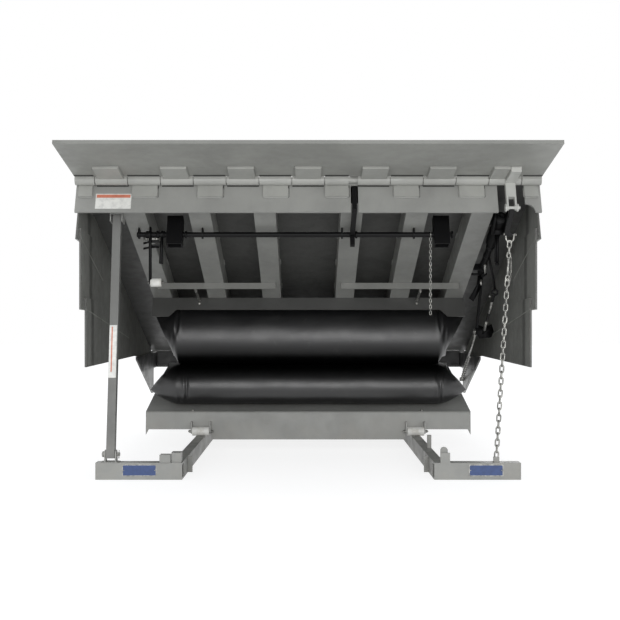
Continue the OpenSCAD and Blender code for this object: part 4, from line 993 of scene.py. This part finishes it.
def build_hinge_shadows():
    """Dark strips painted as the shadow in the gaps at the lip's rear edge, dark strips painted as shadow
    beside and below the pads, and the slot's cover.
    """
    on_lip, on_deck, cover = Batch(), Batch(), Batch()
    half = 73
    shadow_spans = [(x - half, x + half) for x in (-750, -450, -150, 450, 750)]
    # painted shadow: dark strips in the gaps along the lip's rear edge
    for x0, x1 in shadow_spans + [(77, 185), (-1067, -977), (977, 1067)]:
        on_lip.prism([lip(x, y, 7.4) for x, y in oblong(x0, x1, -50, -29.5)], step(lip, 0, 0, 0.7))
    out, face = step(deck, 0, -0.5, 0), HEADER_FACE - 0.4
    for x, wide in DECK_PADS:
        # painted shadow: a dark strip at the right side of each deck pad
        seam = ((1.0, -76), (5.5, -72), (5.5, -13), (1.0, -13))
        on_deck.prism([deck(x + wide / 2 + dx, face, z) for dx, z in seam], out)
    # painted shadow: a dark strip below each lip pad
    for x in LIP_PADS:
        on_deck.prism([deck(x + dx, face, z) for dx, z in oblong(-half, half, -19.5, -11)], out)
    cover.prism([lip(x, y, 17.5) for x, y in oblong(197, 227, -30.5, -3)], step(lip, 0, 0, 5))
    cover.prism([lip(x, -20, z) for x, z in oblong(188, 227, 6, 18)], step(lip, 0, -4, 0))
    on_lip.make("lip_gap_shadows", "seam", "lip", smooth=False, slot="painted_deck")
    cover.make("lip_slot_cover", "lip", "lip", smooth=False, slot="painted_deck")
    on_deck.make("header_pad_shadows", "seam", "deck", smooth=False, slot="painted_deck")


def rounded(batch, x, z, wide, tall, lift, thick, r):
    """A thin plate with rounded corners on the feet's front face."""
    points = []
    for cx, cz, start in ((1, 1, 0), (-1, 1, 90), (-1, -1, 180), (1, -1, 270)):
        for a in angles(4, math.radians(start), math.pi / 2):
            points.append(row(x + cx * (wide / 2 - r) + r * math.cos(a), -lift,
                              z + cz * (tall / 2 - r) + r * math.sin(a)))
    batch.prism(points, (0, -thick * MM, 0))


def build_plates():
    """The plain label on the header and the blank plates on the feet."""
    for name, material, corners, lift, thick in (
            ("header_label", "label_white", oblong(-974, -811, -132, -56), 0, 0.5),
            ("header_label_band", "label_band", oblong(-970, -815, -76, -60), 0.4, 0.4)):
        sheet = Batch()
        sheet.prism([deck(x, HEADER_FACE - lift, z) for x, z in corners], step(deck, 0, -thick, 0))
        sheet.make(name, material, "deck", smooth=False, slot="painted_deck")

    plates, rims, rivets = Batch(), Batch(), Batch()
    z = 42.5
    for centre in (-759, 800):
        rounded(rims, centre, z, 155, 53, 0.0, 1.6, 5)
        rounded(plates, centre, z, 147, 45, 1.5, 0.5, 3)
        for dx in (-70, 70):
            rivets.lathe(row(centre + dx, -2.0, z), -Y_AXIS,
                         [(0, 2.6), (0.9, 2.2), (1.4, 1.1), (1.5, 0)], 12)
    rims.make("foot_plate_rims", "zinc", "frame", smooth=False, slot="zinc_steel")
    plates.make("foot_plates", "label_blue", "frame", smooth=False, slot="painted_frame")
    rivets.make("foot_plate_rivets", "zinc", "frame", slot="zinc_steel")


def build_bolts():
    """Bolts on the pan, the roller pins and the bag plate, and the plate's straps."""
    on_frame, on_deck, straps = Batch(), Batch(), Batch()
    slope = math.radians(PAN_SLOPE)
    for x in (-638.7, 628):
        up = (0, -math.sin(slope), math.cos(slope))
        hex_bolt(on_frame, bag_point(x, 1081, -PAN_SLOPE), up, 15, 7, washer=20)
    for s in (-1, 1):
        for side in (-1, 1):
            place = row(s * 591.5 + side * 58, 1062, 100.3)
            hex_bolt(on_frame, place, X_AXIS * side, 14, 6, washer=19, stud=3)
    # the straps run from the bag plate's front flange up to the cross bars
    top = [(-1466, -138.1), (-1436, -138.1), (-1262, -122), (-1256.2, -122), (-1256.2, -152)]
    low = [(y - 2.2, z) if y > -1300 else (y, z - 2.2) for y, z in top]
    for x in (-608, 607):
        hex_bolt(on_deck, deck(x, -1258.4, -138), step(deck, 0, -1, 0), 13, 6, washer=18, stud=3)
        hex_bolt(on_deck, deck(x, -1452, -140.4), step(deck, 0, 0, -1), 13, 6, washer=18, stud=3)
        for quad in zip(top, top[1:], low[1:], low):
            straps.prism([deck(x - 7, *corner) for corner in quad], (0.014, 0, 0))
    straps.make("bag_plate_straps", "zinc", "deck", smooth=False, slot="zinc_steel")
    on_deck.make("bag_plate_bolts", "zinc", "deck", slot="zinc_steel")
    on_frame.make("frame_bolts", "zinc", "frame", slot="zinc_steel")


def build_treads():
    """Raised lugs of rolled floor plate on the deck's and the lip's upper faces."""
    pitch, edge, top, tall = 38.0, 26.0, 24.0, 1.6
    half_long, half_wide, taper = 14.0, 4.6, 0.7
    right, c = DECK_W / 2 - edge, math.sqrt(0.5)
    lug = [(math.cos(a) * half_long, math.sin(a) * half_wide) for a in angles(HEX, 0, 2 * math.pi)[:-1]]
    sides = range(HEX)
    for name, place, body, y0, y1 in (("deck_tread", deck, "deck", -2396, -42),
                                      ("lip_tread", lip, "lip", -425, -58)):
        batch = Batch()
        for j in range(int((y1 - y0) / (pitch / 2)) + 1):
            y = y0 + j * pitch / 2
            turn = 1 if j % 2 else -1
            ring = [((u - v * turn) * c, (u * turn + v) * c) for u, v in lug]
            for i in range(int(2 * right / pitch) + 1):
                x = -right + (i + 0.5 * (j % 2)) * pitch
                if x > right:
                    continue
                low = [place(x + u, y + v, top - 0.1) for u, v in ring]
                high = [place(x + u * taper, y + v * taper, top + tall) for u, v in ring]
                faces = [tuple(HEX + k for k in sides)]
                faces += [(k, (k + 1) % HEX, HEX + (k + 1) % HEX, HEX + k) for k in sides]
                batch.add(low + high, faces)
        batch.make(name, "tread_top", body, slot="painted_deck")


def build_welds():
    """Fillet beads where pads, joists, tabs and posts are welded on."""
    on_deck, on_lip, on_frame = Batch(), Batch(), Batch()
    low, under = step(deck, 0, -1, -1), step(lip, 0, 0, -1)
    for x, width in DECK_PADS + [(-1022, 63), (1022, 63)]:
        for side in (-1, 1):
            at = x + side * (width / 2 + 1)
            weld(on_deck, deck(at, -2410, -74), deck(at, -2410, -26), 3.2, low)
        weld(on_deck, deck(x - width / 2, -2411, -76), deck(x + width / 2, -2411, -76), 3.4, low)
    for x in (-812.95, -508.1, -203.2, 203.2, 508.1, 812.95):
        for side in (-1, 1):
            weld(on_deck, deck(x + side * 52, -2395.5, -102), deck(x + side * 52, -2395.5, 6), 3.2, low)
            for y in range(-2200, -500, 330):
                weld(on_deck, deck(x + side * 52.5, y, 6.5), deck(x + side * 52.5, y + 70, 6.5), 3.4, low)
        weld(on_deck, deck(x - 50, -2395.5, -105), deck(x + 50, -2395.5, -105), 3.0, low)
    z = 6.8
    for x, width in [(x, 115) for x in LIP_PADS] + [(862.75, 71.5), (LEVER_X, 45)]:
        for side in (-1, 1):
            # the last pad and the lever's meet, with no bead between them
            if x > 800 and (x - 892) * side < 0:
                continue
            at = x + side * (width / 2 + 1)
            weld(on_lip, lip(at, -165, z), lip(at, -34, z), 3.3, under)
        weld(on_lip, lip(x - width / 2, -168, z), lip(x + width / 2, -168, z), 3.5, under)

    def bead(x0, y0, z0, x1, y1, z1, size):
        weld(on_frame, row(x0, y0, z0), row(x1, y1, z1), size)

    for s in (-1, 1):
        bead(s * 617, 65, 4, s * 617, 65, 72, 3.4)
        for z, size in ((76.8, 3.6), (388.4, 3.2)):
            bead(s * 568, 2364.2, z, s * 615, 2364.2, z, size)
        for x in (566.2, 616.8):
            for z, size in ((76.8, 3.4), (388.4, 3.2)):
                bead(s * x, 2368, z, s * x, 2437, z, size)
    z = 76.8
    for x0, x1, y0, y1 in ((838.5, 863.5, 19.5, 44.5), (-932.5, -853.5, 13.5, 54.5)):
        for y in (y0, y1):
            bead(x0, y, z, x1, y, z, 3.0)
        for x in (x0, x1):
            bead(x, y0, z, x, y1, z, 3.0)
    bead(-615, 7, 76.9, -574, 7, 76.9, 3.0)
    bead(-668, -0.2, 77.2, -622, -0.2, 77.2, 2.8)
    on_deck.make("deck_welds", "deck", "deck", slot="painted_deck")
    on_lip.make("lip_welds", "lip", "lip", slot="painted_deck")
    on_frame.make("frame_welds", "frame", "frame", slot="painted_frame")


build_lip_chain()
build_strut_chain()
build_linkage_trim()
build_strut_trim()
build_pull_ring()
build_prop_trim()
build_guard_highlights()
build_rear_corners()
build_hinge_shadows()
build_plates()
build_bolts()
build_treads()
build_welds()
